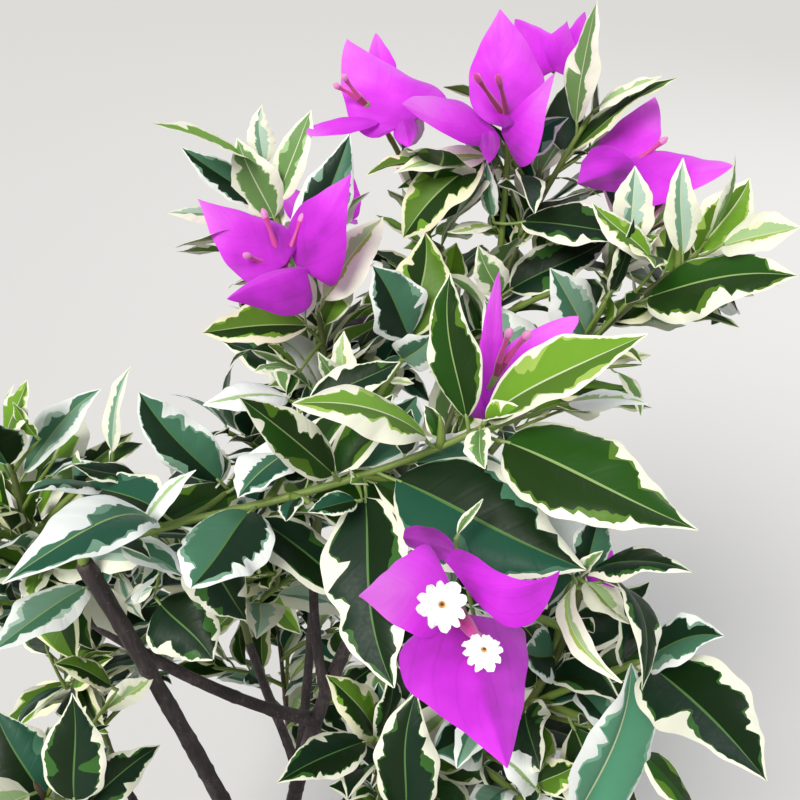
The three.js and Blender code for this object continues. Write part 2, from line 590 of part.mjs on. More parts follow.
// Blooms: three bracts round a throat, with a slender tube flower before each. A bract that the
// picture shows is given by its tip; the others open evenly round the bloom's axis.
const BLOOMS = [
  { name: 'bloom_top_left', mass: 'foliage_top_left', from: 0.85, throat: seen(283, 270, 350),
    axis: faced([-0.05, 0.75, 0.66]), stars: 0,
    bracts: [{ tip: [198, 199], long: 42 }, { tip: [351, 174], long: 48 }, { tip: [250, 312], long: 36 }] },
  { name: 'bloom_top_centre', mass: 'foliage_top_back', from: 0.7, throat: seen(508, 122, 354),
    axis: faced([-0.1, 0.5, 0.85]), stars: 0,
    bracts: [{ tip: [500, 9], long: 45 }, { tip: [402, 100], long: 42 }, { tip: [524, 163], long: 26 }] },
  { name: 'bloom_far_left', mass: 'foliage_top_back', from: 0.5, throat: seen(368, 106, 374),
    axis: faced([-0.5, 0.45, 0.7]), stars: 0,
    bracts: [
      { tip: [348, 39], long: 38 }, { tip: [308, 137], long: 34 }, { tip: [424, 84], long: 34, far: true },
    ] },
  { name: 'bloom_far_top', mass: 'foliage_top_back', from: 1, throat: seen(556, 62, 386),
    axis: faced([0.1, 0.6, 0.7]), stars: 0,
    bracts: [{ tip: [585, 12], long: 30 }, { tip: [514, 18], long: 30 }, { tip: [545, 95], long: 24 }] },
  { name: 'bloom_top_right', mass: 'foliage_top_right', from: 0.5, throat: seen(622, 172, 366),
    axis: faced([-0.3, 0.6, 0.7]), stars: 0,
    bracts: [{ tip: [654, 97], long: 36 }, { tip: [733, 166], long: 46 }, { tip: [577, 183], long: 28 }] },
  { name: 'bloom_centre', mass: 'foliage_front_centre', from: 0.95, throat: seen(496, 376, 298),
    axis: faced([0.45, 0.85, 0.1]), stars: 0,
    bracts: [
      { tip: [500, 272], long: 42, face: [0.9, 0.1, 0.35], far: true },
      { tip: [578, 317], long: 40, face: [-0.5, 0.75, 0.3], far: true },
      { tip: [488, 424], long: 30, far: true },
    ] },
  { name: 'bloom_front', mass: 'foliage_front_right', from: 0.25, throat: seen(458, 612, 236),
    axis: faced([-0.05, 0.25, 0.97]), stars: 2,
    bracts: [{ tip: [359, 597], long: 32 }, { tip: [560, 571], long: 34 }, { tip: [507, 768], long: 46 }] },
  { name: 'bloom_left_back', mass: 'foliage_left_back', from: 1, throat: at(-150, 70, 392),
    axis: heading(-0.7, 0.25, 0.65), stars: 1 },
  { name: 'bloom_back', mass: 'foliage_back', from: 1, throat: at(30, 160, 500),
    axis: heading(0, 0.75, 0.65), stars: 1 },
  { name: 'bloom_back_side', mass: 'foliage_back', from: 0.7, throat: at(72, 158, 436),
    axis: heading(0.5, 0.8, 0.35), stars: 0 },
  { name: 'bloom_right', mass: 'foliage_back_right', from: 0.9, throat: at(184, 106, 292),
    axis: heading(0.8, 0.3, 0.4), stars: 1 },
  { name: 'bloom_back_low', mass: 'foliage_back_low', from: 1, throat: at(58, 168, 244),
    axis: heading(-0.2, 0.8, 0.5), stars: 0 },
  { name: 'bloom_right_low', mass: 'foliage_right_low', from: 1, throat: at(178, 26, 208),
    axis: heading(0.85, 0, 0.5), stars: 1 },
  { name: 'bloom_front_under', mass: 'foliage_front_under', from: 1, throat: at(48, -150, 290),
    axis: heading(0.2, -0.8, 0.55), stars: 1 },
];

// Ground that stays in view through and beside the crown, as ranges of picture places
const OPENINGS = [
  { x: [-60, 150], y: [-200, 372] },
  { x: [150, 305], y: [-200, 92] },
  { x: [612, 900], y: [-200, 62] },
  { x: [745, 900], y: [-200, 205] },
  { x: [655, 900], y: [330, 545] },
  { x: [735, 900], y: [545, 800] },
  { x: [120, 300], y: [690, 800] },
  { x: [-60, 60], y: [646, 692] },
  { x: [236, 318], y: [640, 676] },
  { x: [285, 335], y: [535, 562] },
  { x: [515, 545], y: [668, 760] },
  { x: [545, 600], y: [742, 770] },
  { x: [615, 900], y: [522, 548] },
  { x: [648, 900], y: [584, 618] },
  { x: [690, 900], y: [545, 800] },
];

/** The place of a point in the picture, and its distance ahead of the eye. */
function onPicture(point) {
  const offset = point.clone().sub(EYE);
  const depth = offset.dot(AHEAD);
  const scale = FOCAL_LENGTH / depth;
  return {
    place: new THREE.Vector2(
      PICTURE_CENTRE + offset.dot(ACROSS) * scale,
      PICTURE_CENTRE - offset.dot(ABOVE) * scale,
    ),
    depth,
  };
}

/** Whether a point lies on a sight line that meets open ground. */
function inOpening(point) {
  const { x, y } = onPicture(point).place;
  return OPENINGS.some((gap) => x > gap.x[0] && x < gap.x[1] && y > gap.y[0] && y < gap.y[1]);
}

// Where the picture shows a leaf or a bract: its midline, half its width and its distance
const inView = [];

function keepInView({ root, tip, width }) {
  const from = onPicture(root);
  const to = onPicture(tip);
  const depth = (from.depth + to.depth) / 2;
  inView.push({ from: from.place, to: to.place, half: width / 2 * VIEW_SHARE * FOCAL_LENGTH / depth, depth });
}

/** Whether a point stands before a leaf or bract that the picture shows. */
function hides(point) {
  const { place: spot, depth } = onPicture(point);
  return inView.some((shown) => {
    if (depth > shown.depth) return false;
    const line = shown.to.clone().sub(shown.from);
    const along = Math.min(Math.max(spot.clone().sub(shown.from).dot(line) / line.lengthSq(), 0), 1);
    return shown.from.clone().addScaledVector(line, along).distanceTo(spot) < shown.half;
  });
}

// What stands already, which later pieces keep clear of
const placed = [];

const meet = (a, b) => [0, 1, 2].every((axis) => a.min[axis] <= b.max[axis] && b.min[axis] <= a.max[axis]);

/** Whether a solid cuts into one that stands already, of those that the test picks. */
function cuts(solid, picks) {
  const box = solid.boundingBox();
  return placed.some((other) => picks(other) && meet(box, other.box)
    && !solid.intersect(other.solid).isEmpty());
}

function place(owner, solid) {
  placed.push({ owner, solid, box: solid.boundingBox() });
  return solid;
}

const largest = (solid) => solid.decompose().reduce((a, b) => (b.volume() > a.volume() ? b : a));

/** The main stem flares at its foot in three low lobes, and is rounded where it forks. */
function stemSolid(grown = 0) {
  const radiusAt = (share, angle) => {
    const height = share * FORK_HEIGHT;
    const flare = (FLARE_RADIUS - STEM_RADIUS) * Math.exp(-height / FLARE_HEIGHT);
    const lobes = 1 + 0.3 * Math.cos(3 * angle + 0.6);
    const crown = share > 0.99 ? 0.72 : 1;
    return (STEM_RADIUS - 0.8 * share) * crown + flare * lobes;
  };
  return limbSolid(STEM.curve, { rings: 8, sides: 10, radiusAt, grown });
}

/** The boughs, each cut clear of its parent and of the boughs that leave the same parent. */
function growWood() {
  const limbs = new Map();
  limbs.set(STEM.name, { ...STEM, solid: place(STEM.name, stemSolid()), wide: stemSolid(SEAT_GAP) });
  for (const bough of BOUGHS) {
    const { name, parent, leaves, radii, rings, handles, tip } = bough;
    const curve = new THREE.CubicBezierCurve3(limbs.get(parent).curve.getPoint(leaves), ...handles, tip);
    const shape = { rings, sides: 5, radiusAt: taper(...radii) };
    let solid = limbSolid(curve, shape);
    for (const other of limbs.values()) {
      if (other.name === parent || other.parent === parent) solid = solid.subtract(other.wide);
    }
    solid = place(name, largest(solid));
    limbs.set(name, { name, parent, curve, solid, wide: limbSolid(curve, { ...shape, grown: SEAT_GAP }) });
  }
  return limbs;
}

/** A mass's own stem grows on from its bough's tip, a seat's gap clear of it. */
function stemCurve(mass, limbs) {
  const bough = limbs.get(mass.bough).curve;
  const onward = bough.getTangent(1);
  const foot = bough.getPoint(1).addScaledVector(onward, SEAT_GAP);
  const first = foot.clone().addScaledVector(onward, mass.stem.lead);
  return new THREE.CubicBezierCurve3(foot, first, mass.stem.by, mass.stem.to);
}

/** A shoot leaves its parent a little forward, sags and turns up to its end. */
function shootCurve(parent, from, end) {
  const start = parent.getPoint(from);
  const length = start.distanceTo(end);
  const bend = start.clone().lerp(end, 0.4)
    .addScaledVector(parent.getTangent(from), 0.12 * length)
    .addScaledVector(UP, -0.05 * length);
  return new THREE.QuadraticBezierCurve3(start, bend, end);
}

/** The shoot of a bloom runs out along the bloom's axis and ends short of its stalk. */
function bloomCurve(parent, bloom) {
  const start = parent.getPoint(bloom.from);
  const end = bloom.throat.clone().addScaledVector(bloom.axis, -STALK_LENGTH - SEAT_GAP);
  const bend = end.clone().addScaledVector(bloom.axis, -0.4 * start.distanceTo(end));
  return new THREE.QuadraticBezierCurve3(start, bend, end);
}

/** Two directions square to a shoot, from which the leaves round it are counted. */
function roundabout(tangent) {
  const first = squared(Math.abs(tangent.z) < 0.95 ? UP : ACROSS, tangent);
  return [first, tangent.clone().cross(first)];
}

/** The end of a shoot that the rule sets, drawn in until it lies inside its mass's space. */
function ruleEnd(mass, stem, index) {
  const draw = seeded(mass.seed * 100 + index);
  const from = mix(0.2, 1, (index + 0.5) / mass.fill.count);
  const start = stem.getPoint(from);
  const tangent = stem.getTangent(from);
  const [first, second] = roundabout(tangent);
  const angle = THREE.MathUtils.degToRad(LEAF_TURN * index + 40 * draw());
  const onward = first.multiplyScalar(Math.cos(angle)).addScaledVector(second, Math.sin(angle))
    .addScaledVector(tangent, 0.5).addScaledVector(UP, 0.3).normalize();
  let length = mix(...mass.fill.long, draw());
  const end = () => start.clone().addScaledVector(onward, length);
  while (!inside(mass, end(), SHOOT_REACH) && length > SHORTEST_SHOOT) length *= 0.9;
  return { from, end: end() };
}

/** Whether a point lies in a mass's rounded space, of which only a share may be asked for. */
function inside(mass, point, share = 1) {
  const [rx, ry, rz] = mass.reach;
  const offset = point.clone().sub(mass.centre);
  return (offset.x / rx) ** 2 + (offset.y / ry) ** 2 + (offset.z / rz) ** 2 < share * share;
}

const shootSolid = (shoot, grown = 0) => limbSolid(shoot.curve, {
  rings: shoot.rings, sides: shoot.sides, radiusAt: taper(...shoot.radii), grown,
});

const shootOf = (curve, key, leaves = []) => ({ curve, radii: SHOOT_RADII, rings: 2, sides: 3, key, leaves });

/** A mass's stem, the shoots that the picture shows and those that end in a bloom. */
function growShoots(mass, limbs) {
  const key = mass.seed * 100;
  const stem = shootOf(stemCurve(mass, limbs), key + 90, mass.leaves);
  const shown = mass.shoots.map(({ from, to, leaves }, index) =>
    shootOf(shootCurve(stem.curve, from, to), key + 50 + index, leaves));
  const blooming = BLOOMS.filter((bloom) => bloom.mass === mass.name).map((bloom, index) =>
    shootOf(bloomCurve(stem.curve, bloom), key + 70 + index));
  const shoots = [{ ...stem, radii: STEM_RADII, rings: 5 }, ...shown, ...blooming];
  shoots.forEach((shoot) => place(mass.name, shootSolid(shoot)));
  return shoots;
}

/** The further shoots that the rule sets, without those that would touch another piece. */
function growRuleShoots(mass, shoots) {
  const stem = shoots[0].curve;
  for (let index = 0; index < mass.fill.count; index++) {
    const { from, end } = ruleEnd(mass, stem, index);
    const curve = shootCurve(stem, from, end);
    const shoot = { ...shootOf(curve, mass.seed * 100 + index), blades: [] };
    if (inOpening(end) || cuts(shootSolid(shoot, SEAT_GAP), (other) => other.owner !== mass.name)) continue;
    place(mass.name, shootSolid(shoot));
    shoots.push(shoot);
  }
}

/** A leaf that the picture shows. Each further try stretches it and so changes its distance. */
function shownBlade(shoot, leaf, stretch) {
  const { on, tip, long, face, wide = LEAF_WIDTH_SHARE, arch = 0.05, petiole = PETIOLE_SHARE, far } = leaf;
  const root = shoot.curve.getPoint(on);
  const end = sighted(root, tip, long * stretch, far);
  return {
    share: on, root, tip: end, facing: faced(face), width: wide * long, fold: SHOWN_FOLD, arch, petiole,
    shape: LEAF_SHAPE, thickness: LEAF_THICKNESS, solid: bladeSolid, clearance: SHOWN_CLEARANCE, free: 0.2,
  };
}

/** A leaf of the rule: one golden turn on from the last, spread out and faced to the light. */
function ruleBlade(shoot, index, count, attempt) {
  const draw = seeded(shoot.key * 100 + index);
  const draws = [draw(), draw(), draw(), draw(), draw()];
  const share = mix(0.22, 1, (index + 0.6) / count);
  const root = shoot.curve.getPoint(share);
  const tangent = shoot.curve.getTangent(share);
  const [first, second] = roundabout(tangent);
  const angle = THREE.MathUtils.degToRad(LEAF_TURN * index + 70 * draws[0] + 64 * attempt);
  const outward = first.multiplyScalar(Math.cos(angle)).addScaledVector(second, Math.sin(angle));
  outward.z *= 0.6;
  const ahead = outward.addScaledVector(tangent, mix(0.3, 1, share))
    .addScaledVector(UP, mix(-0.35, 0.3, draws[1])).normalize();
  const length = LEAF_LENGTH * (0.66 + 0.42 * Math.sin(Math.PI * share)) * mix(0.86, 1.14, draws[2]);
  const fromAxis = root.clone().sub(CROWN_AXIS).setZ(0).normalize();
  const facing = UP.clone().addScaledVector(fromAxis, mix(0.1, 0.7, draws[3]))
    .addScaledVector(ahead.clone().cross(UP), mix(-0.5, 0.5, draws[4])).normalize();
  return {
    share, root, tip: root.clone().addScaledVector(ahead, length), facing,
    width: length * mix(0.44, 0.56, draws[3]),
    fold: mix(0.15, 0.5, draws[2]),
    arch: mix(0.02, 0.13, draws[1]),
    petiole: PETIOLE_SHARE, shape: LEAF_SHAPE, thickness: LEAF_THICKNESS, solid: kiteSolid,
    clearance: LEAF_CLEARANCE, free: 0.08,
  };
}

/** Whether a blade stays clear of other pieces, and beyond its petiole of its own mass too. */
function fits(blade, mass) {
  return !cuts(blade.solid(blade, { swell: blade.clearance }), (other) => other.owner !== mass.name)
    && !cuts(blade.solid(blade, { from: blade.free }), (other) => other.owner === mass.name);
}

/** Grows the first of some tries at a leaf that fits, or none of them. */
function addLeaf(mass, shoot, blades) {
  const blade = blades.find((candidate) => candidate && fits(candidate, mass));
  if (!blade) return;
  place(mass.name, blade.solid(blade));
  shoot.blades.push(blade);
}

function growShownLeaves(mass, shoots) {
  for (const shoot of shoots) {
    shoot.blades = [];
    for (const leaf of shoot.leaves) {
      addLeaf(mass, shoot, STRETCHES.map((stretch) => shownBlade(shoot, leaf, stretch)));
      keepInView(shoot.blades.at(-1));
    }
  }
}

function growRuleLeaves(mass, shoots) {
  for (const shoot of shoots) {
    const count = Math.max(3, Math.round(shoot.curve.getLength() / LEAF_SPACING));
    for (let index = 0; index < count; index++) {
      addLeaf(mass, shoot, STRETCHES.map((_, attempt) => {
        const blade = ruleBlade(shoot, index, count, attempt);
        const { midrib, margin } = bladeLines(blade);
        const spots = [blade.tip, midrib(0.3), midrib(0.6), margin(0.5, -1, 0), margin(0.5, 1, 0)];
        const open = inside(mass, blade.tip) && !inOpening(blade.tip) && !inOpening(midrib(0.6));
        return open && !spots.some(hides) ? blade : null;
      }));
    }
  }
}

/** The bracts of a bloom that the picture doesn't show: three, round its axis, each a little shorter. */
function hiddenBracts({ throat, axis }) {
  const [first, second] = roundabout(axis);
  return [0, 1, 2].map((index) => {
    const angle = THREE.MathUtils.degToRad(20 + 145 * index);
    const open = first.clone().multiplyScalar(Math.cos(angle)).addScaledVector(second, Math.sin(angle))
      .addScaledVector(axis, 0.55).normalize();
    return { end: throat.clone().addScaledVector(open, BRACT_LENGTH - 3 * index) };
  });
}

/** A tube flower leans out of the throat over its own bract. An open one widens into a star. */
function tubeSolid({ throat, axis }, ahead, open) {
  const lean = axis.clone().addScaledVector(ahead, 0.35).normalize();
  const mouth = throat.clone().addScaledVector(lean, TUBE_LENGTH);
  return limbSolid(new THREE.LineCurve3(throat, mouth), {
    rings: open ? 3 : 1, sides: open ? 5 : 3,
    radiusAt: (share) => (open && share > 0.9 ? STAR_RADIUS : TUBE_RADIUS),
  });
}

/** One bloom: a stalk, three bracts that open round its throat, and their tube flowers. */
function bloomSolid(bloom) {
  const { throat, axis, stars } = bloom;
  const shown = bloom.bracts !== undefined;
  const foot = throat.clone().addScaledVector(axis, -STALK_LENGTH);
  const neck = throat.clone().addScaledVector(axis, NECK_LENGTH);
  const stalk = new THREE.LineCurve3(foot, neck);
  const pieces = [limbSolid(stalk, { rings: 1, sides: 5, radiusAt: taper(1.1, 2.2) })];
  (bloom.bracts ?? hiddenBracts(bloom)).forEach((bract, index) => {
    const tip = bract.end ?? sighted(throat, bract.tip, bract.long, bract.far);
    const blade = {
      root: throat, tip, facing: bract.face ? faced(bract.face) : axis,
      width: BRACT_WIDTH_SHARE * throat.distanceTo(tip), fold: 0.35,
      arch: -0.05, petiole: 0.06, shape: BRACT_SHAPE, thickness: BRACT_THICKNESS,
    };
    pieces.push((shown ? bladeSolid : kiteSolid)(blade));
    if (shown) keepInView(blade);
    const ahead = tip.clone().sub(throat).normalize();
    if (shown || index === 0) pieces.push(tubeSolid(bloom, ahead, index < stars));
  });
  return wasm.Manifold.union(pieces);
}

/** A named mesh of a solid, in its own material. */
function meshOf(name, solid, material) {
  const { vertProperties, triVerts } = solid.getMesh();
  const geometry = new THREE.BufferGeometry();
  geometry.setAttribute('position', new THREE.Float32BufferAttribute(vertProperties, 3));
  geometry.setIndex(new THREE.Uint32BufferAttribute(triVerts, 1));
  geometry.computeVertexNormals();
  const mesh = new THREE.Mesh(geometry, material);
  mesh.name = name;
  return mesh;
}

const MATERIALS = {
  bark: new THREE.MeshStandardMaterial({ color: 0x4a3b3d, roughness: 0.9, metalness: 0 }),
  leaf: new THREE.MeshStandardMaterial({ color: 0x4f7f4a, roughness: 0.45, metalness: 0 }),
  bract: new THREE.MeshStandardMaterial({ color: 0xc42fd0, roughness: 0.6, metalness: 0 }),
};

const bush = new THREE.Group();
const limbs = growWood();
const crowns = MASSES.map((mass) => ({ mass, shoots: growShoots(mass, limbs) }));
const blooms = BLOOMS.map((bloom) => ({ name: bloom.name, solid: place(bloom.name, bloomSolid(bloom)) }));
crowns.forEach(({ mass, shoots }) => growShownLeaves(mass, shoots));
crowns.forEach(({ mass, shoots }) => growRuleShoots(mass, shoots));
crowns.forEach(({ mass, shoots }) => growRuleLeaves(mass, shoots));

for (const { name, solid } of limbs.values()) bush.add(meshOf(name, solid, MATERIALS.bark));
for (const { mass, shoots } of crowns) {
  const solids = shoots.map(leafyShootSolid);
  bush.add(meshOf(mass.name, largest(wasm.Manifold.union(solids)), MATERIALS.leaf));
}
for (const { name, solid } of blooms) bush.add(meshOf(name, solid, MATERIALS.bract));

export default bush;
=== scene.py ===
import json
import math

import bpy
import numpy as np
from mathutils import Matrix, Vector, kdtree

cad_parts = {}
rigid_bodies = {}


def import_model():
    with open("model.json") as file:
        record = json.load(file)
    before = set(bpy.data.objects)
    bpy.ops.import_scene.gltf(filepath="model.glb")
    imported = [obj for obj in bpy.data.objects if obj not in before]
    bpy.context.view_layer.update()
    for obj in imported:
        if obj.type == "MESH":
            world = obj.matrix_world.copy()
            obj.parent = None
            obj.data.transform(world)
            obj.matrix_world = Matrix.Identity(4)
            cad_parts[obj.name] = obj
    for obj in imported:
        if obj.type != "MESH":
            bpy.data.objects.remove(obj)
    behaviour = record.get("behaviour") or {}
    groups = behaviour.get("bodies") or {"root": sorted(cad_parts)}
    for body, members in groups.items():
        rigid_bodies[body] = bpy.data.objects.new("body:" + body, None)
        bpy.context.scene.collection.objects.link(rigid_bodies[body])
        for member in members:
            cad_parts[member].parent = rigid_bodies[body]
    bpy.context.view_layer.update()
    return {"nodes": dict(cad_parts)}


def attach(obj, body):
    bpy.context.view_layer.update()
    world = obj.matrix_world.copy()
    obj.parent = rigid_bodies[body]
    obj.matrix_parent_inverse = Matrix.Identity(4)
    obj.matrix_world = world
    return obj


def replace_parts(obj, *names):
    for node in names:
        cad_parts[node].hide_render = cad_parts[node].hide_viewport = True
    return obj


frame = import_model()

# The viewpoint: the bush is seen from above its crown, by a level camera tilted down 35 degrees.
# Leaves, shoots and blooms that the picture shows are placed by sights from here, so the same
# values serve the camera and the growth of the bush. Sizes are in millimetres.
MM = 0.001
EYE = np.array([70.0, -275.0, 695.0])
PITCH = math.radians(35)
PICTURE_CENTRE = 400
FOCAL_LENGTH = 898
SENSOR_WIDTH = 36
NEAREST_VIEW = 0.01
AHEAD = np.array([0.0, math.cos(PITCH), -math.sin(PITCH)])
ACROSS = np.array([1.0, 0.0, 0.0])
ABOVE = np.array([0.0, math.sin(PITCH), math.cos(PITCH)])

camera = bpy.data.objects.new("camera", bpy.data.cameras.new("camera"))
bpy.context.collection.objects.link(camera)
camera.data.sensor_width = SENSOR_WIDTH
camera.data.lens = SENSOR_WIDTH * FOCAL_LENGTH / (2 * PICTURE_CENTRE)
camera.data.clip_start = NEAREST_VIEW
camera.matrix_world = Matrix.Translation(Vector(EYE * MM)) @ Matrix.Rotation(math.pi / 2 - PITCH, 4, "X")
bpy.context.scene.camera = camera


# Wood: the main stem and the boughs that fork from it, dark purple-brown with a fine, lengthwise
# grained bark, corky spots and low rings where old leaves sat. Each limb tapers, bends by its two
# handles and ends where it enters a mass of foliage.
FORK_HEIGHT = 80
STEM_RADIUS = 7
FLARE_RADIUS = 13
FLARE_HEIGHT = 9
STEM_RINGS = 90
STEM_SIDES = 40
BOUGH_SIDES = 24
RING_STEP = 1.6
COLLAR = 0.35
COLLAR_REACH = 7
SCAR_SPACING = 23
SCAR_BREADTH = 1.3


def at(x, y, z):
    return np.array([x, y, z], float)


def unit(vectors):
    """Vectors divided by their lengths, along the last axis."""
    return vectors / np.linalg.norm(vectors, axis=-1, keepdims=True)


def dot(a, b):
    return (a * b).sum(-1, keepdims=True)


def squared(directions, axes):
    """The part of each direction square to its unit axis: d - (d . a) a, made unit length."""
    return unit(directions - dot(directions, axes) * axes)


def seen(x, y, depth):
    """The point that shows at (x, y) of the picture, so far ahead of the eye."""
    shift = depth / FOCAL_LENGTH
    right, upward = x - PICTURE_CENTRE, PICTURE_CENTRE - y
    return EYE + AHEAD * depth + ACROSS * right * shift + ABOVE * upward * shift


def bough(parent, leaves, radii, handles, tip):
    """A bough: where it leaves its parent, its radii at both ends, its two handles and its tip."""
    return {"parent": parent, "leaves": leaves, "radii": radii, "handles": handles, "tip": tip}


STEM_POINTS = [at(0, 0, 0), at(0, 0, 28), at(0, 0, 54), at(5, -5, FORK_HEIGHT)]

BOUGHS = {
    "centre": bough("stem", 0.97, (5, 2.9), [at(0, -14, 190), at(12, -26, 300)], at(56, 10, 385)),
    "left": bough("stem", 0.93, (4.7, 2.8), [at(3, -28, 170), at(-2, -57, 325)], seen(84, 563, 300)),
    "side": bough("centre", 0.76, (3.2, 2), [at(2, -16, 337), at(-35, -22, 375)], seen(60, 600, 355)),
    "top_left": bough("centre", 0.82, (2.7, 2), [at(33, -7, 352), at(30, 0, 375)], at(31, 12, 396)),
    "inner": bough("centre", 0.62, (2.6, 2), [at(14, 2, 285), at(2, 12, 310)], at(-4, 18, 344)),
    "top_right": bough("centre", 0.92, (2.6, 2), [at(62, 8, 390), at(80, 20, 402)], at(92, 32, 418)),
    "front_right": bough("centre", 0.4, (3.9, 2.2), [at(22, -24, 256), at(68, -44, 310)], at(96, -60, 358)),
    "front_low": bough("front_right", 0.42, (2.6, 2), [at(42, -46, 290), at(56, -64, 310)],
                       at(58, -68, 340)),
    "left_low": bough("left", 0.24, (2.9, 2), [at(-16, -46, 170), at(-58, -66, 220)], at(-64, -76, 286)),
    "left_under": bough("stem", 0.72, (2.8, 2), [at(-18, -10, 78), at(-46, -22, 92)], at(-58, -30, 128)),
    "front_under": bough("stem", 0.84, (2.9, 2), [at(8, -28, 96), at(24, -62, 124)], at(26, -76, 166)),
    "right_front": bough("front_right", 0.34, (2.5, 2), [at(52, -36, 268), at(88, -56, 262)],
                         at(114, -74, 286)),
    "right_low": bough("stem", 0.9, (3, 2), [at(28, 0, 108), at(66, 10, 118)], at(84, 16, 142)),
    "back": bough("centre", 0.36, (3.2, 2.1), [at(14, 20, 240), at(20, 60, 284)], at(22, 78, 330)),
    "back_right": bough("centre", 0.28, (2.9, 2), [at(36, 16, 208), at(76, 58, 222)], at(88, 72, 252)),
    "back_low": bough("stem", 0.8, (3, 2), [at(4, 22, 98), at(2, 58, 126)], at(-2, 76, 160)),
    "left_back": bough("stem", 0.86, (3.2, 2.1), [at(-40, 6, 100), at(-84, 16, 164)], at(-94, 28, 232)),
}


class Limb:
    """A Bezier curve: the sum of its control points, each times its Bernstein share at t."""

    def __init__(self, *points):
        self.points = np.array(points, float)

    def point(self, t):
        t = np.asarray(t, float)[..., None]
        last = len(self.points) - 1
        return sum(
            math.comb(last, k) * (1 - t) ** (last - k) * t**k * point
            for k, point in enumerate(self.points)
        )

    def tangent(self, t):
        """The direction between the points just before and after t."""
        t = np.asarray(t, float)
        return unit(self.point(np.minimum(t + 1e-4, 1)) - self.point(np.maximum(t - 1e-4, 0)))

    def length(self):
        return np.linalg.norm(np.diff(self.point(np.linspace(0, 1, 201)), axis=0), axis=1).sum()


class Growth:
    """Grids of points gathered into one mesh, with a slot number for every face."""

    def __init__(self):
        self.points, self.corners, self.sizes, self.slots, self.uvs = [], [], [], [], []
        self.count = 0

    def add(self, points, uvs, faces):
        """Points and their UVs, and pairs of an array of faces and the slot of each face."""
        self.points.append(points.reshape(-1, 3))
        self.uvs.append(uvs.reshape(-1, 2))
        for corners, slots in faces:
            self.corners.append((corners + self.count).ravel())
            self.sizes.append(np.full(len(corners), corners.shape[1]))
            self.slots.append(np.broadcast_to(slots, len(corners)))
        self.count += points.size // 3

    def piece(self, name, materials, slot):
        """The mesh object of all that was added. It rides on the root body."""
        mesh = bpy.data.meshes.new(name)
        points = np.concatenate(self.points) * MM
        corners = np.concatenate(self.corners)
        sizes = np.concatenate(self.sizes)
        mesh.vertices.add(len(points))
        mesh.vertices.foreach_set("co", points.ravel())
        mesh.loops.add(len(corners))
        mesh.polygons.add(len(sizes))
        mesh.polygons.foreach_set("loop_start", np.cumsum(sizes) - sizes)
        mesh.polygons.foreach_set("vertices", corners)
        for material in materials:
            mesh.materials.append(material)
        mesh.polygons.foreach_set("material_index", np.concatenate(self.slots).astype(np.int32))
        mesh.polygons.foreach_set("use_smooth", np.ones(len(sizes), bool))
        layer = mesh.uv_layers.new(name="grain")
        layer.data.foreach_set("uv", np.concatenate(self.uvs)[corners].ravel())
        mesh.update(calc_edges=True)
        mesh.validate()
        made = bpy.data.objects.new(name, mesh)
        bpy.context.collection.objects.link(made)
        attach(made, "root")
        return made


def quads(rows, columns, closed=False):
    """Faces of a grid of points, row by row. Closed, the last column joins the first."""
    across = columns if closed else columns - 1
    row, column = np.meshgrid(np.arange(rows - 1), np.arange(across), indexing="ij")
    here = row * columns + column
    beside = row * columns + (column + 1) % columns
    return np.stack([here, beside, beside + columns, here + columns], -1).reshape(-1, 4)


def tube(growth, curve, rings, sides, radius_at, slot, shares=None):
    """Rings round a curve: its point + radius (n cos a + m sin a), n and m square to it."""
    share = np.linspace(0, 1, rings + 1) if shares is None else shares
    angle = np.linspace(0, 2 * np.pi, sides, endpoint=False)
    centre = curve.point(share)
    tangent = curve.tangent(share)
    chord = centre[-1] - centre[0]
    side = np.eye(3)[np.argmin(np.abs(chord))]
    normal = squared(np.broadcast_to(side, tangent.shape), tangent)
    second = np.cross(tangent, normal)
    radius = np.broadcast_to(radius_at(share[:, None], angle[None]), (len(share), sides))[..., None]
    ring = normal[:, None] * np.cos(angle)[:, None] + second[:, None] * np.sin(angle)[:, None]
    points = centre[:, None] + ring * radius
    along = np.concatenate([[0], np.cumsum(np.linalg.norm(np.diff(centre, axis=0), axis=1))])
    uvs = np.stack(np.broadcast_arrays(angle[None] / (2 * np.pi), along[:, None] * MM), -1)
    first = np.arange(sides)[::-1][None]
    last = (len(share) - 1) * sides + np.arange(sides)[None]
    slots = np.broadcast_to(slot, len(share) - 1)
    walls = (quads(len(share), sides, closed=True), np.repeat(slots, sides))
    growth.add(points, uvs, [walls, (first, slots[0]), (last, slots[-1])])


class Shade:
    """A socket of a material's nodes. Arithmetic on it with values adds Math nodes."""

    def __init__(self, tree, socket=None):
        self.tree = tree
        self.socket = socket

    def node(self, kind, values=(), out=0, stops=(), **settings):
        """A node: its settings and ramp stops first, then its sockets' values or links."""
        node = self.tree.nodes.new("ShaderNode" + kind)
        for name, value in settings.items():
            setattr(node, name, value)
        for place, (where, colour) in enumerate(stops):
            ramp = node.color_ramp.elements
            stop = ramp[place] if place < len(ramp) else ramp.new(where)
            stop.position = where
            stop.color = colour
        for name, value in dict(values).items():
            if isinstance(value, Shade):
                self.tree.links.new(value.socket, node.inputs[name])
            else:
                node.inputs[name].default_value = value
        return Shade(self.tree, node.outputs[out])

    def maths(self, operation, first, second):
        return self.node("Math", {0: first, 1: second}, operation=operation)

    def __add__(self, other):
        return self.maths("ADD", self, other)

    def __sub__(self, other):
        return self.maths("SUBTRACT", self, other)

    def __mul__(self, other):
        return self.maths("MULTIPLY", self, other)

    def __rsub__(self, other):
        return self.maths("SUBTRACT", other, self)

    __radd__ = __add__
    __rmul__ = __mul__


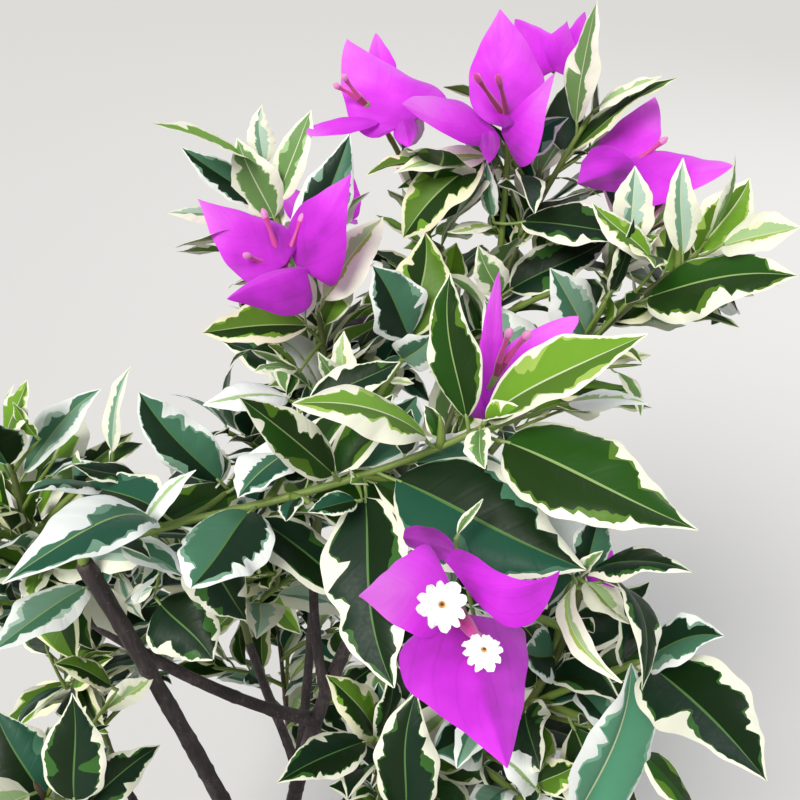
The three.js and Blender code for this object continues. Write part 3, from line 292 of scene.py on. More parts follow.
def rgb(red, green, blue):
    """A colour as light values, from the 0 to 255 of a screen: ((c + 0.055) / 1.055) ^ 2.4."""
    shares = [channel / 255 for channel in (red, green, blue)]
    return (*[s / 12.92 if s <= 0.04045 else ((s + 0.055) / 1.055) ** 2.4 for s in shares], 1)


def material(name, colour, roughness, sheen=0.0):
    """A named material with its even values on the shader, and its first Shade to build on."""
    made = bpy.data.materials.new(name)
    made.use_nodes = True
    made.diffuse_color = colour
    shader = made.node_tree.nodes["Principled BSDF"]
    shader.inputs["Base Color"].default_value = colour
    shader.inputs["Roughness"].default_value = roughness
    shader.inputs["Sheen Weight"].default_value = sheen
    return made, shader, Shade(made.node_tree)


def feed(shade, shader, name):
    shade.tree.links.new(shade.socket, shader.inputs[name])


def noise(place, scale, detail):
    return place.node("TexNoise", {"Vector": place, "Scale": scale, "Detail": detail}, out="Fac")


def ranged(value, low, high, first=0.0, last=1.0):
    """A value between low and high, spread from first to last and held there beyond them."""
    spread = {"Value": value, "From Min": low, "From Max": high, "To Min": first, "To Max": last}
    return value.node("MapRange", spread)


def toned(tone, stops):
    """The colour at a tone, from pairs of a tone and its colour."""
    return tone.node("ValToRGB", {"Fac": tone}, out="Color", stops=stops)


def raised(height, shader, strength, depth):
    """A bump of this height in the shader's normal, so strong and so many metres deep."""
    bump = height.node("Bump", {"Height": height, "Strength": strength, "Distance": depth})
    feed(bump, shader, "Normal")
    return bump


def bark():
    """Dark streaks along the limb over paler patches, with pale corky spots that stand up."""
    made, shader, start = material("bark", rgb(48, 38, 40), 0.7)
    place = start.node("TexCoord", out="Object")
    streaks = noise(start.node("Mapping", {"Vector": place, "Scale": (1.0, 1.0, 0.16)}), 900.0, 4.0)
    patches = noise(place, 70.0, 3.0)
    spots = start.node("TexVoronoi", {"Vector": place, "Scale": 380.0}, out="Distance")
    corky = ranged(spots, 0.1, 0.2, 1.0, 0.0)
    colour = toned(streaks * 0.55 + patches * 0.5, [
        (0.3, rgb(26, 18, 20)), (0.5, rgb(48, 38, 40)), (0.62, rgb(70, 58, 58)), (0.78, rgb(104, 92, 86))])
    spotted = start.node("Mix", {0: corky * 0.4, 6: colour, 7: rgb(124, 108, 96)}, out=2, data_type="RGBA")
    feed(spotted, shader, "Base Color")
    feed(streaks * 0.35 + 0.45, shader, "Roughness")
    raised(streaks * 0.7 + corky * 0.5, shader, 0.5, 0.0006)
    return made


def bark_relief(share, angle, length, draw):
    """Share of the radius that bark adds: waves round the limb that drift along it, and rings."""
    along = share * length
    furrows = sum(
        size * np.sin(lobes * angle + draw.uniform(0, 6) + draw.uniform(-0.09, 0.09) * along)
        for lobes, size in ((2, 0.03), (5, 0.022), (9, 0.02), (13, 0.014))
    )
    lumps = 0.03 * np.sin(along / 5.3 + draw.uniform(0, 6)) + 0.02 * np.sin(along / 2.1 + 2 * angle)
    from_scar = (along + draw.uniform(0, 20)) % SCAR_SPACING - SCAR_SPACING // 2
    return 1 + furrows + lumps + 0.1 * np.exp(-(from_scar / SCAR_BREADTH) ** 2)


LIMBS = {"stem": Limb(*STEM_POINTS)}
wood = Growth()
draw = np.random.default_rng(1)


def stem_radius(share, angle):
    """The main stem: a low flare of three lobes at the foot, falling away, and a drawn-in top."""
    flare = (FLARE_RADIUS - STEM_RADIUS) * np.exp(-share * FORK_HEIGHT / FLARE_HEIGHT)
    flare = flare * (1 + 0.3 * np.cos(3 * angle + 0.6))
    crown = 1 - 0.28 * np.clip((share - 0.95) / 0.05, 0, 1)
    return (STEM_RADIUS - 0.8 * share) * crown * bark_relief(share, angle, FORK_HEIGHT, draw) + flare


tube(wood, LIMBS["stem"], STEM_RINGS, STEM_SIDES, stem_radius, 0)
for name, limb in BOUGHS.items():
    curve = Limb(LIMBS[limb["parent"]].point(limb["leaves"]), *limb["handles"], limb["tip"])
    LIMBS[name] = curve
    length = curve.length()
    first, last = limb["radii"]

    def radius_at(share, angle):
        """The limb's taper, with a collar where it leaves its parent, under the bark's relief."""
        collar = 1 + COLLAR * np.exp(-share * length / COLLAR_REACH)
        return (first + (last - first) * share) * collar * bark_relief(share, angle, length, draw)

    tube(wood, curve, int(length / RING_STEP), BOUGH_SIDES, radius_at, 0)

woody = wood.piece("woody_stems", [bark()], "bark")
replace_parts(woody, "main_stem", *["bough_" + name for name in BOUGHS])


# Foliage: each mass stands on the tip of one bough. Its green stem grows on from the bough, and
# shoots leave the stem, either where the picture shows one or by a seeded rule. Leaves stand on
# both, in a spiral of golden turns, faced up and outwards to the light.
SEAT_GAP = 0.3
STEM_RADII = (1.9, 1.1)
SHOOT_RADII = (1.5, 1.15)
TWIG_RADII = (0.9, 0.6)
SHORTEST_SHOOT = 12
SHOOT_REACH = 0.8
LEAF_LENGTH = 50
LEAF_SPACING = 18
LEAF_TURN = 137.5
STALK_LENGTH = 5
CROWN_AXIS = at(45, 15, 0)
UP = at(0, 0, 1)

# A leaf's outline is given by how full it is at its stalk and how long its point is drawn
OVATE = (0.75, 1.15)
SLENDER = (0.8, 1.1)
BLUNT = (0.6, 0.9)
DRAWN_OUT = (0.7, 1.25)

# The solids count as having a leaf within this distance of its tip, and a shoot within this
# distance of its end. A leaf of the picture is tried at these shares of its length, in turn.
TIP_MATCH = 0.05
END_MATCH = 1.6
STRETCHES = (1, 0.94, 1.06, 0.88, 1.12)

# The rule draws a shoot's leaves by its number in the mass: from 0 on for shoots of the rule, then
# shoots of the picture, shoots of blooms and the stem. The rows of a blade's grid tell shown, rule
# and young leaves apart.
SHOWN_KEYS = 50
BLOOM_KEYS = 70
STEM_KEY = 90
SHOWN_ROWS = 44
RULE_ROWS = 14
YOUNG_ROWS = 9


def leaf(on, tip, long, face, look, wide=0.5, far=False, **form):
    """A leaf of the picture: its place on the shoot, its tip, length, the way it faces, its look."""
    form["look"] = look
    return {"on": on, "tip": tip, "long": long, "face": face, "wide": wide, "far": far, "form": form}


def mass(seed, bough, centre, reach, lead, by, to, fill, leaves=(), shoots=(), twigs=()):
    """A mass: its rounded space, its stem's way up, its shoots by the rule and what shows of it."""
    return {"seed": seed, "bough": bough, "centre": centre, "reach": np.array(reach), "lead": lead,
            "by": by, "to": to, "fill": fill, "leaves": leaves, "shoots": shoots, "twigs": twigs}


MASSES = {
    "front_centre": mass(11, "left", seen(300, 500, 320), (95, 45, 50), 15, seen(300, 515, 312),
        seen(478, 430, 286), (6, 36, 60), leaves=[
            leaf(0.33, (196, 470), 34, (-0.8, 0.2, 0.5), "white", wide=0.36),
            leaf(0.44, (247, 621), 46, (0.1, 0.6, 0.8), "forest", far=True),
            leaf(0.4, (2, 584), 66, (0.1, 0.75, 0.65), "halfwhite", wide=0.38, arch=0.18),
            leaf(0.43, (84, 482), 50, (0, 0.8, 0.6), "deep", wide=0.4, arch=0.1, far=True),
            leaf(0.6, (191, 588), 44, (-0.2, 0.3, 0.93), "cool", wide=0.66, shape=(0.62, 0.8)),
            leaf(0.76, (239, 397), 57, (-0.25, 0.4, 0.88), "leafy", wide=0.27, shape=SLENDER),
            leaf(0.8, (394, 688), 68, (-0.35, 0.25, 0.9), "forest", wide=0.42, shape=(0.6, 0.95), wavy=1.6),
            leaf(0.82, (586, 570), 76, (0.05, 0.35, 0.93), "deep", shape=(0.7, 1.1)),
            leaf(0.93, (292, 404), 54, (0, 0.75, 0.65), "limy", wide=0.44, arch=0.12, shape=(0.8, 1.0)),
            leaf(0.985, (450, 273), 54, (-0.3, 0.1, 0.95), "leafy", wide=0.28, shape=SLENDER),
            leaf(0.99, (648, 334), 66, (-0.1, 0.6, 0.75), "lime", wide=0.37, arch=0.08, shape=SLENDER),
            leaf(0.995, (698, 530), 78, (-0.15, 0.5, 0.85), "leafy", wide=0.4, petiole=0.17,
                 shape=DRAWN_OUT),
        ], shoots=[
            (0.43, seen(229, 490, 320), [
                leaf(1, (139, 392), 50, (-0.3, 0.35, 0.88), "cool", wide=0.38, shape=(0.7, 0.9)),
            ]),
            (0.62, seen(297, 402, 330), [
                leaf(1, (203, 405), 36, (0, 0.8, 0.6), "white", arch=0.12),
                leaf(0.55, (238, 498), 34, (-0.2, 0.5, 0.8), "halfwhite", wide=0.58),
                leaf(0.9, (400, 362), 36, (0.1, 0.6, 0.8), "forest", wide=0.44),
            ]),
        ], twigs=[
            (0.37, seen(154, 596, 322), [
                leaf(1, (213, 660), 34, (-0.3, 0.3, 0.9), "forest", wide=0.72, shape=(0.5, 0.9)),
                leaf(0.7, (137, 604), 20, (-0.5, 0.4, 0.8), "white"),
            ]),
            (0.985, seen(482, 424, 280), [
                leaf(1, (527, 408), 22, (-0.3, 0.6, 0.75), "lime", wide=0.44, fold=0.9),
                leaf(0.8, (485, 469), 17, (-0.4, 0.3, 0.8), "sage", wide=0.6, fold=0.8),
            ]),
            (0.985, seen(560, 404, 300), [
                leaf(1, (648, 404), 32, (0, 0.8, 0.6), "white", wide=0.4),
            ]),
            (0.78, seen(362, 500, 288), [
                leaf(1, (308, 512), 20, (0, 0.7, 0.7), "deep"),
            ]),
        ]),
    "left": mass(23, "side", seen(20, 530, 352), (68, 56, 62), 18, seen(34, 540, 348),
        seen(5, 446, 335), (6, 36, 60), leaves=[
            leaf(0.85, (101, 389), 46, (-0.2, 0.6, 0.7), "grey", wide=0.42),
            leaf(1, (27, 380), 30, (-0.3, 0.5, 0.8), "lime"),
            leaf(0.9, (-30, 420), 44, (0, 0.7, 0.7), "deep"),
            leaf(0.5, (-12, 556), 44, (0, 0.6, 0.8), "grey"),
        ], shoots=[
            (0.55, seen(112, 462, 335), [
                leaf(1, (131, 366), 40, (-0.7, 0.1, 0.7), "pale", wide=0.4),
            ]),
        ], twigs=[
            (0.6, seen(150, 486, 330), [
                leaf(1, (72, 464), 32, (0, 0.7, 0.7), "forest", wide=0.34),
                leaf(0.8, (27, 494), 46, (0, 0.8, 0.6), "cool", wide=0.34),
            ]),
            (0.35, seen(96, 582, 332), [
                leaf(1, (-8, 652), 48, (0, 0.7, 0.7), "grey", wide=0.44),
            ]),
            (0.9, seen(40, 440, 330), [
                leaf(1, (13, 402), 18, (-0.4, 0.5, 0.8), "lime", wide=0.4),
            ]),
        ]),
    "left_low": mass(31, "left_low", at(-68, -84, 352), (62, 52, 66), 30, at(-60, -82, 350),
        at(-64, -86, 392), (6, 38, 64), leaves=[
            leaf(0.8, (-6, 708), 40, (0.1, 0.5, 0.85), "deep", wide=0.6),
            leaf(0.7, (160, 745), 38, (0.1, 0.6, 0.8), "forest"),
        ], twigs=[
            (0.9, seen(76, 812, 318), [
                leaf(1, (72, 693), 48, (0, 0.2, 1), "forest", shape=(0.62, 1.25)),
            ]),
            (0.9, seen(118, 690, 326), [
                leaf(1, (54, 664), 28, (0, 0.8, 0.6), "olive", wide=0.4),
                leaf(0.8, (154, 676), 20, (0.1, 0.6, 0.8), "ivory"),
            ]),
        ]),
    "inner": mass(43, "inner", at(-8, 28, 388), (62, 54, 58), 16, at(-10, 28, 385),
        at(-2, 30, 412), (6, 38, 62)),
    "top_left": mass(53, "top_left", seen(300, 285, 378), (66, 56, 74), 20, seen(336, 404, 390),
        seen(318, 312, 366), (6, 34, 56), leaves=[
            leaf(0.95, (202, 333), 48, (0, 0.7, 0.7), "olive"),
            leaf(0.7, (253, 333), 40, (0, 0.85, 0.5), "white", arch=0.18),
            leaf(1, (383, 217), 40, (-0.35, 0.5, 0.8), "ivory", wide=0.6),
        ], shoots=[
            (0.6, seen(264, 172, 380), [
                leaf(1, (151, 123), 58, (-0.35, 0.4, 0.85), "limy", wide=0.33),
                leaf(1, (262, 105), 28, (0, 0, 1), "pale", wide=0.4),
                leaf(0.8, (237, 138), 32, (-0.15, 0.35, 0.9), "sage", wide=0.62),
                leaf(0.85, (311, 110), 36, (-0.3, 0.35, 0.85), "sage"),
                leaf(0.6, (350, 133), 46, (0.1, 0.3, 0.9), "cool", wide=0.48),
                leaf(0.8, (167, 213), 50, (0, 0.7, 0.7), "pale", wide=0.3),
                leaf(0.85, (181, 147), 40, (-0.3, 0.4, 0.85), "cool", wide=0.36),
            ]),
            (0.4, seen(412, 345, 366), [
                leaf(1, (372, 265), 40, (0.1, 0.3, 0.95), "cool", wide=0.62),
                leaf(0.9, (432, 335), 34, (0.3, 0.2, 0.9), "grey"),
                leaf(0.95, (425, 232), 50, (0, 0.4, 0.9), "olive", far=True),
            ]),
        ], twigs=[
            (0.8, seen(347, 392, 356), [
                leaf(1, (344, 331), 24, (-0.5, 0.1, 0.8), "ivory"),
                leaf(0.9, (318, 352), 22, (-0.3, 0.5, 0.8), "sage", wide=0.36),
            ]),
            (0.9, seen(300, 372, 352), [
                leaf(1, (268, 345), 20, (-0.2, 0.6, 0.7), "olive", wide=0.4),
                leaf(0.95, (254, 372), 24, (0, 0.8, 0.6), "sage", wide=0.34),
            ]),
        ]),
    "top_back": mass(61, "centre", seen(505, 250, 405), (72, 60, 92), 40, seen(505, 300, 408),
        seen(540, 168, 382), (6, 40, 66), leaves=[
            leaf(0.72, (612, 238), 54, (0, 0.45, 0.9), "forest", wide=0.44),
        ], shoots=[
            (0.85, seen(592, 112, 374), [
                leaf(0.8, (597, 0), 54, (-0.8, 0, 0.6), "sage", wide=0.36, shape=SLENDER),
                leaf(1, (662, 76), 32, (0.1, 0.6, 0.8), "ivory", wide=0.42),
                leaf(0.6, (679, 77), 50, (0, 0.8, 0.6), "olive", wide=0.4),
            ]),
        ], twigs=[
            (0.86, seen(496, 152, 374), [
                leaf(1, (403, 238), 50, (-0.35, 0.45, 0.8), "olive", wide=0.6, arch=0.1, shape=(0.7, 0.9)),
                leaf(0.9, (456, 216), 30, (-0.3, 0.4, 0.85), "pale", wide=0.3),
                leaf(0.95, (394, 173), 46, (0, 0.5, 0.87), "ivory", wide=0.28),
            ]),
            (0.8, seen(494, 223, 384), [
                leaf(1, (652, 240), 70, (0, 0.5, 0.85), "forest", wide=0.34, petiole=0.2),
                leaf(1, (487, 161), 28, (-0.5, 0.2, 0.8), "grey", wide=0.34),
                leaf(0.9, (447, 232), 26, (-0.3, 0.6, 0.7), "ivory", wide=0.42),
            ]),
            (0.86, seen(437, 160, 378), [
                leaf(1, (366, 176), 32, (0, 0.8, 0.6), "olive", wide=0.36),
                leaf(0.9, (397, 157), 20, (0.1, 0.5, 0.8), "ivory", wide=0.4),
            ]),
            (0.6, seen(502, 300, 376), [
                leaf(1, (478, 246), 28, (-0.2, 0.4, 0.9), "sage"),
            ]),
        ]),
    "top_right": mass(71, "top_right", seen(620, 295, 382), (72, 56, 62), 26, seen(600, 312, 370),
        seen(698, 256, 353), (6, 36, 60), leaves=[
            leaf(0.66, (550, 268), 46, (-0.2, 0.4, 0.9), "grey"),
            leaf(0.8, (798, 276), 72, (-0.1, 0.45, 0.88), "leafy", wide=0.44, shape=DRAWN_OUT),
            leaf(0.95, (683, 158), 42, (-0.2, 0.3, 0.9), "pale", wide=0.3),
            leaf(0.97, (750, 178), 36, (0.3, 0.35, 0.85), "limy", wide=0.62),
            leaf(0.99, (800, 227), 44, (0, 0.5, 0.85), "ivory", petiole=0.3),
            leaf(0.5, (484, 300), 52, (-0.1, 0.6, 0.8), "grey", far=True),
        ], shoots=[
            (0.6, seen(641, 222, 352), [
                leaf(0.8, (635, 166), 31, (0, 0.1, 1), "pale", wide=0.56),
                leaf(0.8, (655, 268), 40, (0.3, 0.4, 0.8), "olive", wide=0.36),
            ]),
        ], twigs=[
            (0.98, seen(706, 240, 346), [
                leaf(1, (735, 155), 36, (0.5, 0.2, 0.8), "sage", wide=0.3),
            ]),
            (0.62, seen(657, 266, 348), [
                leaf(1, (592, 202), 36, (0.2, 0.45, 0.85), "limy", wide=0.42),
            ]),
            (0.5, seen(606, 300, 360), [
                leaf(1, (634, 217), 36, (0.5, 0.2, 0.8), "forest", wide=0.34),
            ]),
        ]),
    "front_right": mass(83, "front_right", seen(590, 690, 308), (64, 50, 64), 24, seen(572, 660, 302),
        seen(583, 574, 273), (6, 34, 56), leaves=[
            leaf(1, (692, 572), 42, (0, 0.8, 0.6), "forest", wide=0.42, arch=0.08),
            leaf(0.97, (622, 683), 50, (-0.7, 0.3, 0.6), "ivory", wide=0.16, arch=0.2, shape=SLENDER),
            leaf(0.98, (642, 690), 54, (0.6, 0.5, 0.6), "forest", wide=0.27, arch=0.24, shape=SLENDER),
            leaf(0.7, (521, 650), 34, (0, 0.4, 0.9), "cool"),
            leaf(0.5, (540, 771), 48, (-0.3, 0.1, 0.95), "forest", wide=0.42, shape=SLENDER),
            leaf(0.94, (522, 484), 48, (0.1, 0.6, 0.8), "white", far=True),
            leaf(0.96, (604, 503), 28, (0, 0.4, 0.9), "cool", wide=0.4),
        ], shoots=[
            (0.5, seen(643, 660, 284), [
                leaf(0.95, (724, 636), 36, (0.1, 0.6, 0.8), "cool"),
                leaf(1, (767, 781), 58, (0.1, 0.3, 0.95), "forest", wide=0.52, shape=DRAWN_OUT),
            ]),
            (0.12, seen(560, 842, 282), [
                leaf(1, (631, 663), 63, (0.55, 0.2, 0.8), "mint", wide=0.57, shape=BLUNT, fold=0.5),
            ]),
        ], twigs=[
            (0.2, seen(455, 540, 262), [
                leaf(1, (483, 499), 14, (-0.5, 0.3, 0.8), "sage", wide=0.26, fold=0.9),
            ]),
            (0.97, seen(580, 578, 272), [
                leaf(1, (603, 551), 14, (-0.3, 0.5, 0.8), "sage", wide=0.4, fold=0.9),
                leaf(0.9, (630, 624), 23, (0.3, 0.5, 0.8), "ivory"),
            ]),
            (0.2, seen(540, 792, 288), [
                leaf(1, (500, 757), 20, (0, 0.7, 0.7), "white", wide=0.6),
                leaf(0.9, (577, 764), 22, (0, 0.6, 0.8), "olive"),
            ]),
        ]),
    "front_low": mass(97, "front_low", at(56, -80, 376), (58, 48, 58), 12, seen(384, 775, 342),
        seen(375, 738, 332), (6, 34, 54), leaves=[
            leaf(1, (277, 783), 44, (0, 0.7, 0.7), "forest", wide=0.4),
            leaf(0.98, (326, 675), 40, (0.3, 0.6, 0.7), "olive", wide=0.42, arch=0.12),
            leaf(0.95, (390, 673), 34, (0.7, 0.1, 0.7), "forest", wide=0.36),
        ], twigs=[
            (0.1, seen(404, 832, 320), [
                leaf(1, (417, 690), 56, (0, 0.1, 1), "forest", wide=0.4, shape=(0.75, 1.1)),
            ]),
        ]),
    "left_under": mass(103, "left_under", at(-76, -44, 200), (70, 64, 74), 20, at(-72, -42, 190),
        at(-80, -48, 238), (6, 46, 72)),
    "front_under": mass(101, "front_under", at(30, -100, 236), (76, 62, 80), 20, at(28, -100, 226),
        at(34, -112, 282), (6, 50, 78)),
    "right_front": mass(113, "right_front", at(134, -84, 318), (66, 56, 62), 16, at(134, -86, 306),
        at(142, -94, 346), (6, 38, 62)),
    "right_low": mass(127, "right_low", at(118, 20, 196), (82, 70, 72), 20, at(112, 20, 178),
        at(128, 24, 226), (6, 50, 80)),
    "back": mass(139, "back", at(24, 112, 410), (78, 64, 96), 24, at(22, 112, 400),
        at(30, 134, 470), (8, 50, 80)),
    "back_right": mass(149, "back_right", at(122, 96, 312), (80, 70, 76), 22, at(114, 98, 300),
        at(132, 120, 352), (6, 50, 80)),
    "back_low": mass(157, "back_low", at(-4, 108, 228), (86, 70, 82), 22, at(-6, 102, 214),
        at(-10, 124, 282), (6, 50, 80)),
    "left_back": mass(167, "left_back", at(-100, 42, 322), (66, 68, 98), 24, at(-102, 42, 300),
        at(-104, 52, 376), (6, 50, 78)),
}


def faced(right, upward, near):
    """A direction given to the right, upward and towards the eye, as the picture shows it."""
    return unit(ACROSS * right + ABOVE * upward - AHEAD * near)


def seat(mass_name, leaves, throat, axis):
    """A bloom's seat: its mass, where its shoot leaves the stem, its throat and the way it looks."""
    return {"mass": mass_name, "from": leaves, "throat": throat, "axis": axis}


SEATS = {
    "top_left": seat("top_left", 0.85, seen(283, 270, 350), faced(-0.05, 0.75, 0.66)),
    "top_centre": seat("top_back", 0.7, seen(508, 122, 354), faced(-0.1, 0.5, 0.85)),
    "far_left": seat("top_back", 0.5, seen(368, 106, 374), faced(-0.5, 0.45, 0.7)),
    "far_top": seat("top_back", 1, seen(556, 62, 386), faced(0.1, 0.6, 0.7)),
    "top_right": seat("top_right", 0.5, seen(622, 172, 366), faced(-0.3, 0.6, 0.7)),
    "centre": seat("front_centre", 0.95, seen(496, 376, 298), faced(0.45, 0.85, 0.1)),
    "front": seat("front_right", 0.25, seen(458, 612, 236), faced(-0.05, 0.25, 0.97)),
    "left_back": seat("left_back", 1, at(-150, 70, 392), unit(at(-0.7, 0.25, 0.65))),
    "back": seat("back", 1, at(30, 160, 500), unit(at(0, 0.75, 0.65))),
    "back_side": seat("back", 0.7, at(72, 158, 436), unit(at(0.5, 0.8, 0.35))),
    "right": seat("back_right", 0.9, at(184, 106, 292), unit(at(0.8, 0.3, 0.4))),
    "back_low": seat("back_low", 1, at(58, 168, 244), unit(at(-0.2, 0.8, 0.5))),
    "right_low": seat("right_low", 1, at(178, 26, 208), unit(at(0.85, 0, 0.5))),
    "front_under": seat("front_under", 1, at(48, -150, 290), unit(at(0.2, -0.8, 0.55))),
}

# The gaps that stay open through and beside the crown, as ranges of picture places
OPENINGS = [
    ((-60, 150), (-200, 372)),
    ((150, 305), (-200, 92)),
    ((612, 900), (-200, 62)),
    ((745, 900), (-200, 205)),
    ((655, 900), (330, 545)),
    ((735, 900), (545, 800)),
    ((120, 300), (690, 800)),
    ((-60, 60), (646, 692)),
    ((236, 318), (640, 676)),
    ((285, 335), (535, 562)),
    ((515, 545), (668, 760)),
    ((545, 600), (742, 770)),
    ((615, 900), (522, 548)),
    ((648, 900), (584, 618)),
    ((690, 900), (545, 800)),
]


def on_picture(points):
    """The x and y of the picture at which points show, and their distance ahead of the eye."""
    offset = points - EYE
    depth = offset @ AHEAD
    scale = FOCAL_LENGTH / depth
    return PICTURE_CENTRE + (offset @ ACROSS) * scale, PICTURE_CENTRE - (offset @ ABOVE) * scale, depth


def in_opening(point):
    x, y, _ = on_picture(point)
    return any(xs[0] < x < xs[1] and ys[0] < y < ys[1] for xs, ys in OPENINGS)


def inside(name, point, share=1.0):
    """Whether a point lies in a mass's rounded space, of which only a share may be asked for."""
    return (((point - MASSES[name]["centre"]) / MASSES[name]["reach"]) ** 2).sum() < share * share


def seeded(seed):
    """A repeatable stream of numbers from 0 to 1: a state steps on evenly and its bits are mixed."""
    state = seed
    while True:
        state = (state + 0x6D2B79F5) % 2**32
        mixed = (state ^ (state >> 15)) * (state | 1) % 2**32
        mixed ^= (mixed + (mixed ^ (mixed >> 7)) * (mixed | 61)) % 2**32
        yield (mixed ^ (mixed >> 14)) / 2**32


def mix(low, high, share):
    return low + (high - low) * share


def roundabout(tangent):
    """Two directions square to a shoot, from which the leaves round it are counted."""
    first = squared(UP if abs(tangent[2]) < 0.95 else ACROSS, tangent)
    return first, np.cross(tangent, first)


def spoke(tangent, degrees):
    """The direction square to a shoot at an angle round it: first cos a + second sin a."""
    first, second = roundabout(tangent)
    return first * math.cos(math.radians(degrees)) + second * math.sin(math.radians(degrees))


def shoot(curve, key, radii=SHOOT_RADII):
    return {"curve": curve, "key": key, "radii": radii, "blades": []}


def shoot_curve(parent, share, end):
    """A shoot leaves its parent a little forward, sags and turns up to its end."""
    start = parent.point(share)
    length = np.linalg.norm(end - start)
    bend = mix(start, end, 0.4) + parent.tangent(share) * 0.12 * length - UP * 0.05 * length
    return Limb(start, bend, end)


def bloom_curve(parent, place):
    """The shoot of a bloom runs out along the bloom's axis and ends short of its stalk."""
    start = parent.point(place["from"])
    end = place["throat"] - place["axis"] * (STALK_LENGTH + SEAT_GAP)
    return Limb(start, end - place["axis"] * 0.4 * np.linalg.norm(end - start), end)


def rule_end(name, stem, index):
    """The end of a shoot that the rule sets, drawn in until it lies inside its mass's space."""
    count, shortest, longest = MASSES[name]["fill"]
    draws = seeded(MASSES[name]["seed"] * 100 + index)
    share = mix(0.2, 1, (index + 0.5) / count)
    start, tangent = stem.point(share), stem.tangent(share)
    onward = unit(spoke(tangent, LEAF_TURN * index + 40 * next(draws)) + tangent * 0.5 + UP * 0.3)
    length = mix(shortest, longest, next(draws))
    while not inside(name, start + onward * length, SHOOT_REACH) and length > SHORTEST_SHOOT:
        length *= 0.9
    return share, start + onward * length


def new_blade(root, tip, facing, width, rows, fold=0.3, arch=0.05, petiole=0.12, look=None, shape=OVATE,
              wavy=1.0):
    """A blade from its root to its tip: how it folds, bows and waves, and where its stalk ends."""
    return {"root": root, "tip": tip, "facing": facing, "width": width, "rows": rows, "fold": fold,
            "arch": arch, "petiole": petiole, "look": look, "shape": shape, "wavy": wavy}


def sighted(root, place, length, far=False):
    """The end of a line of this length from root on the sight through a place of the picture."""
    sight = unit(seen(*place, 1.0) - EYE)
    back = EYE - root
    half = back @ sight
    step = math.sqrt(max(half * half - back @ back + length * length, 0))
    return EYE + sight * (-half + (step if far else -step))


def shown_blade(curve, shown, stretch):
    """A leaf that the picture shows. Each further try stretches it and so changes its distance."""
    root = curve.point(shown["on"])
    tip = sighted(root, shown["tip"], shown["long"] * stretch, shown["far"])
    width = shown["wide"] * shown["long"]
    return new_blade(root, tip, faced(*shown["face"]), width, SHOWN_ROWS, **shown["form"])


def rule_blade(key, curve, index, count, attempt):
    """A leaf of the rule: one golden turn on from the last, spread out and faced to the light."""
    draws = seeded(key * 100 + index)
    draw = [next(draws) for _ in range(5)]
    share = mix(0.22, 1, (index + 0.6) / count)
    root, tangent = curve.point(share), curve.tangent(share)
    outward = spoke(tangent, LEAF_TURN * index + 70 * draw[0] + 64 * attempt) * at(1, 1, 0.6)
    ahead = unit(outward + tangent * mix(0.3, 1, share) + UP * mix(-0.35, 0.3, draw[1]))
    length = LEAF_LENGTH * (0.66 + 0.42 * math.sin(math.pi * share)) * mix(0.86, 1.14, draw[2])
    outside = unit((root - CROWN_AXIS) * at(1, 1, 0))
    facing = unit(UP + outside * mix(0.1, 0.7, draw[3]) + np.cross(ahead, UP) * mix(-0.5, 0.5, draw[4]))
    return new_blade(root, root + ahead * length, facing, length * mix(0.44, 0.56, draw[3]), RULE_ROWS,
                     mix(0.15, 0.5, draw[2]), mix(0.02, 0.13, draw[1]))


class Solids:
    """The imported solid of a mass, which says which leaves and shoots of the rule it has."""

    def __init__(self, node):
        vertices = frame["nodes"][node].data.vertices
        self.tree = kdtree.KDTree(len(vertices))
        for index, vertex in enumerate(vertices):
            self.tree.insert(vertex.co, index)
        self.tree.balance()

    def within(self, point, distance):
        return self.tree.find(Vector(point * MM))[2] < distance * MM

    def found(self, tries):
        """The first of some tries at a leaf that the solid has too, or none."""
        return [blade for blade in tries if self.within(blade["tip"], TIP_MATCH)][:1]


def grow(name):
    """The stem, shoots and leaves of a mass, in the order of the source's rule."""
    given = MASSES[name]
    key = given["seed"] * 100
    solid = Solids("foliage_" + name)
    below = LIMBS[given["bough"]]
    onward = below.tangent(1)
    foot = below.point(1) + onward * SEAT_GAP
    stem = Limb(foot, foot + onward * given["lead"], given["by"], given["to"])
    shoots = [shoot(stem, key + STEM_KEY, STEM_RADII)]
    shown = [(shoots[0], given["leaves"])]
    for index, (share, end, leaves) in enumerate(given["shoots"]):
        shoots.append(shoot(shoot_curve(stem, share, end), key + SHOWN_KEYS + index))
        shown.append((shoots[-1], leaves))
    seats = [place for place in SEATS.values() if place["mass"] == name]
    shoots += [shoot(bloom_curve(stem, place), key + BLOOM_KEYS + index)
               for index, place in enumerate(seats)]
    for index in range(given["fill"][0]):
        share, end = rule_end(name, stem, index)
        if solid.within(end, END_MATCH):
            shoots.append(shoot(shoot_curve(stem, share, end), key + index))
    for bearer, leaves in shown:
        for entry in leaves:
            tries = [shown_blade(bearer["curve"], entry, stretch) for stretch in STRETCHES]
            bearer["blades"] += (solid.found(tries) or tries)[:1]
    for bearer in shoots:
        count = max(3, round(bearer["curve"].length() / LEAF_SPACING))
        for index in range(count):
            tries = [rule_blade(bearer["key"], bearer["curve"], index, count, attempt)
                     for attempt in range(len(STRETCHES))]
            bearer["blades"] += solid.found(tries)
    for share, end, leaves in given["twigs"]:
        twig = shoot(shoot_curve(stem, share, end), 0, TWIG_RADII)
        twig["blades"] = [shown_blade(twig["curve"], entry, 1) for entry in leaves]
        shoots.append(twig)
    return shoots


CROWNS = {name: grow(name) for name in MASSES}


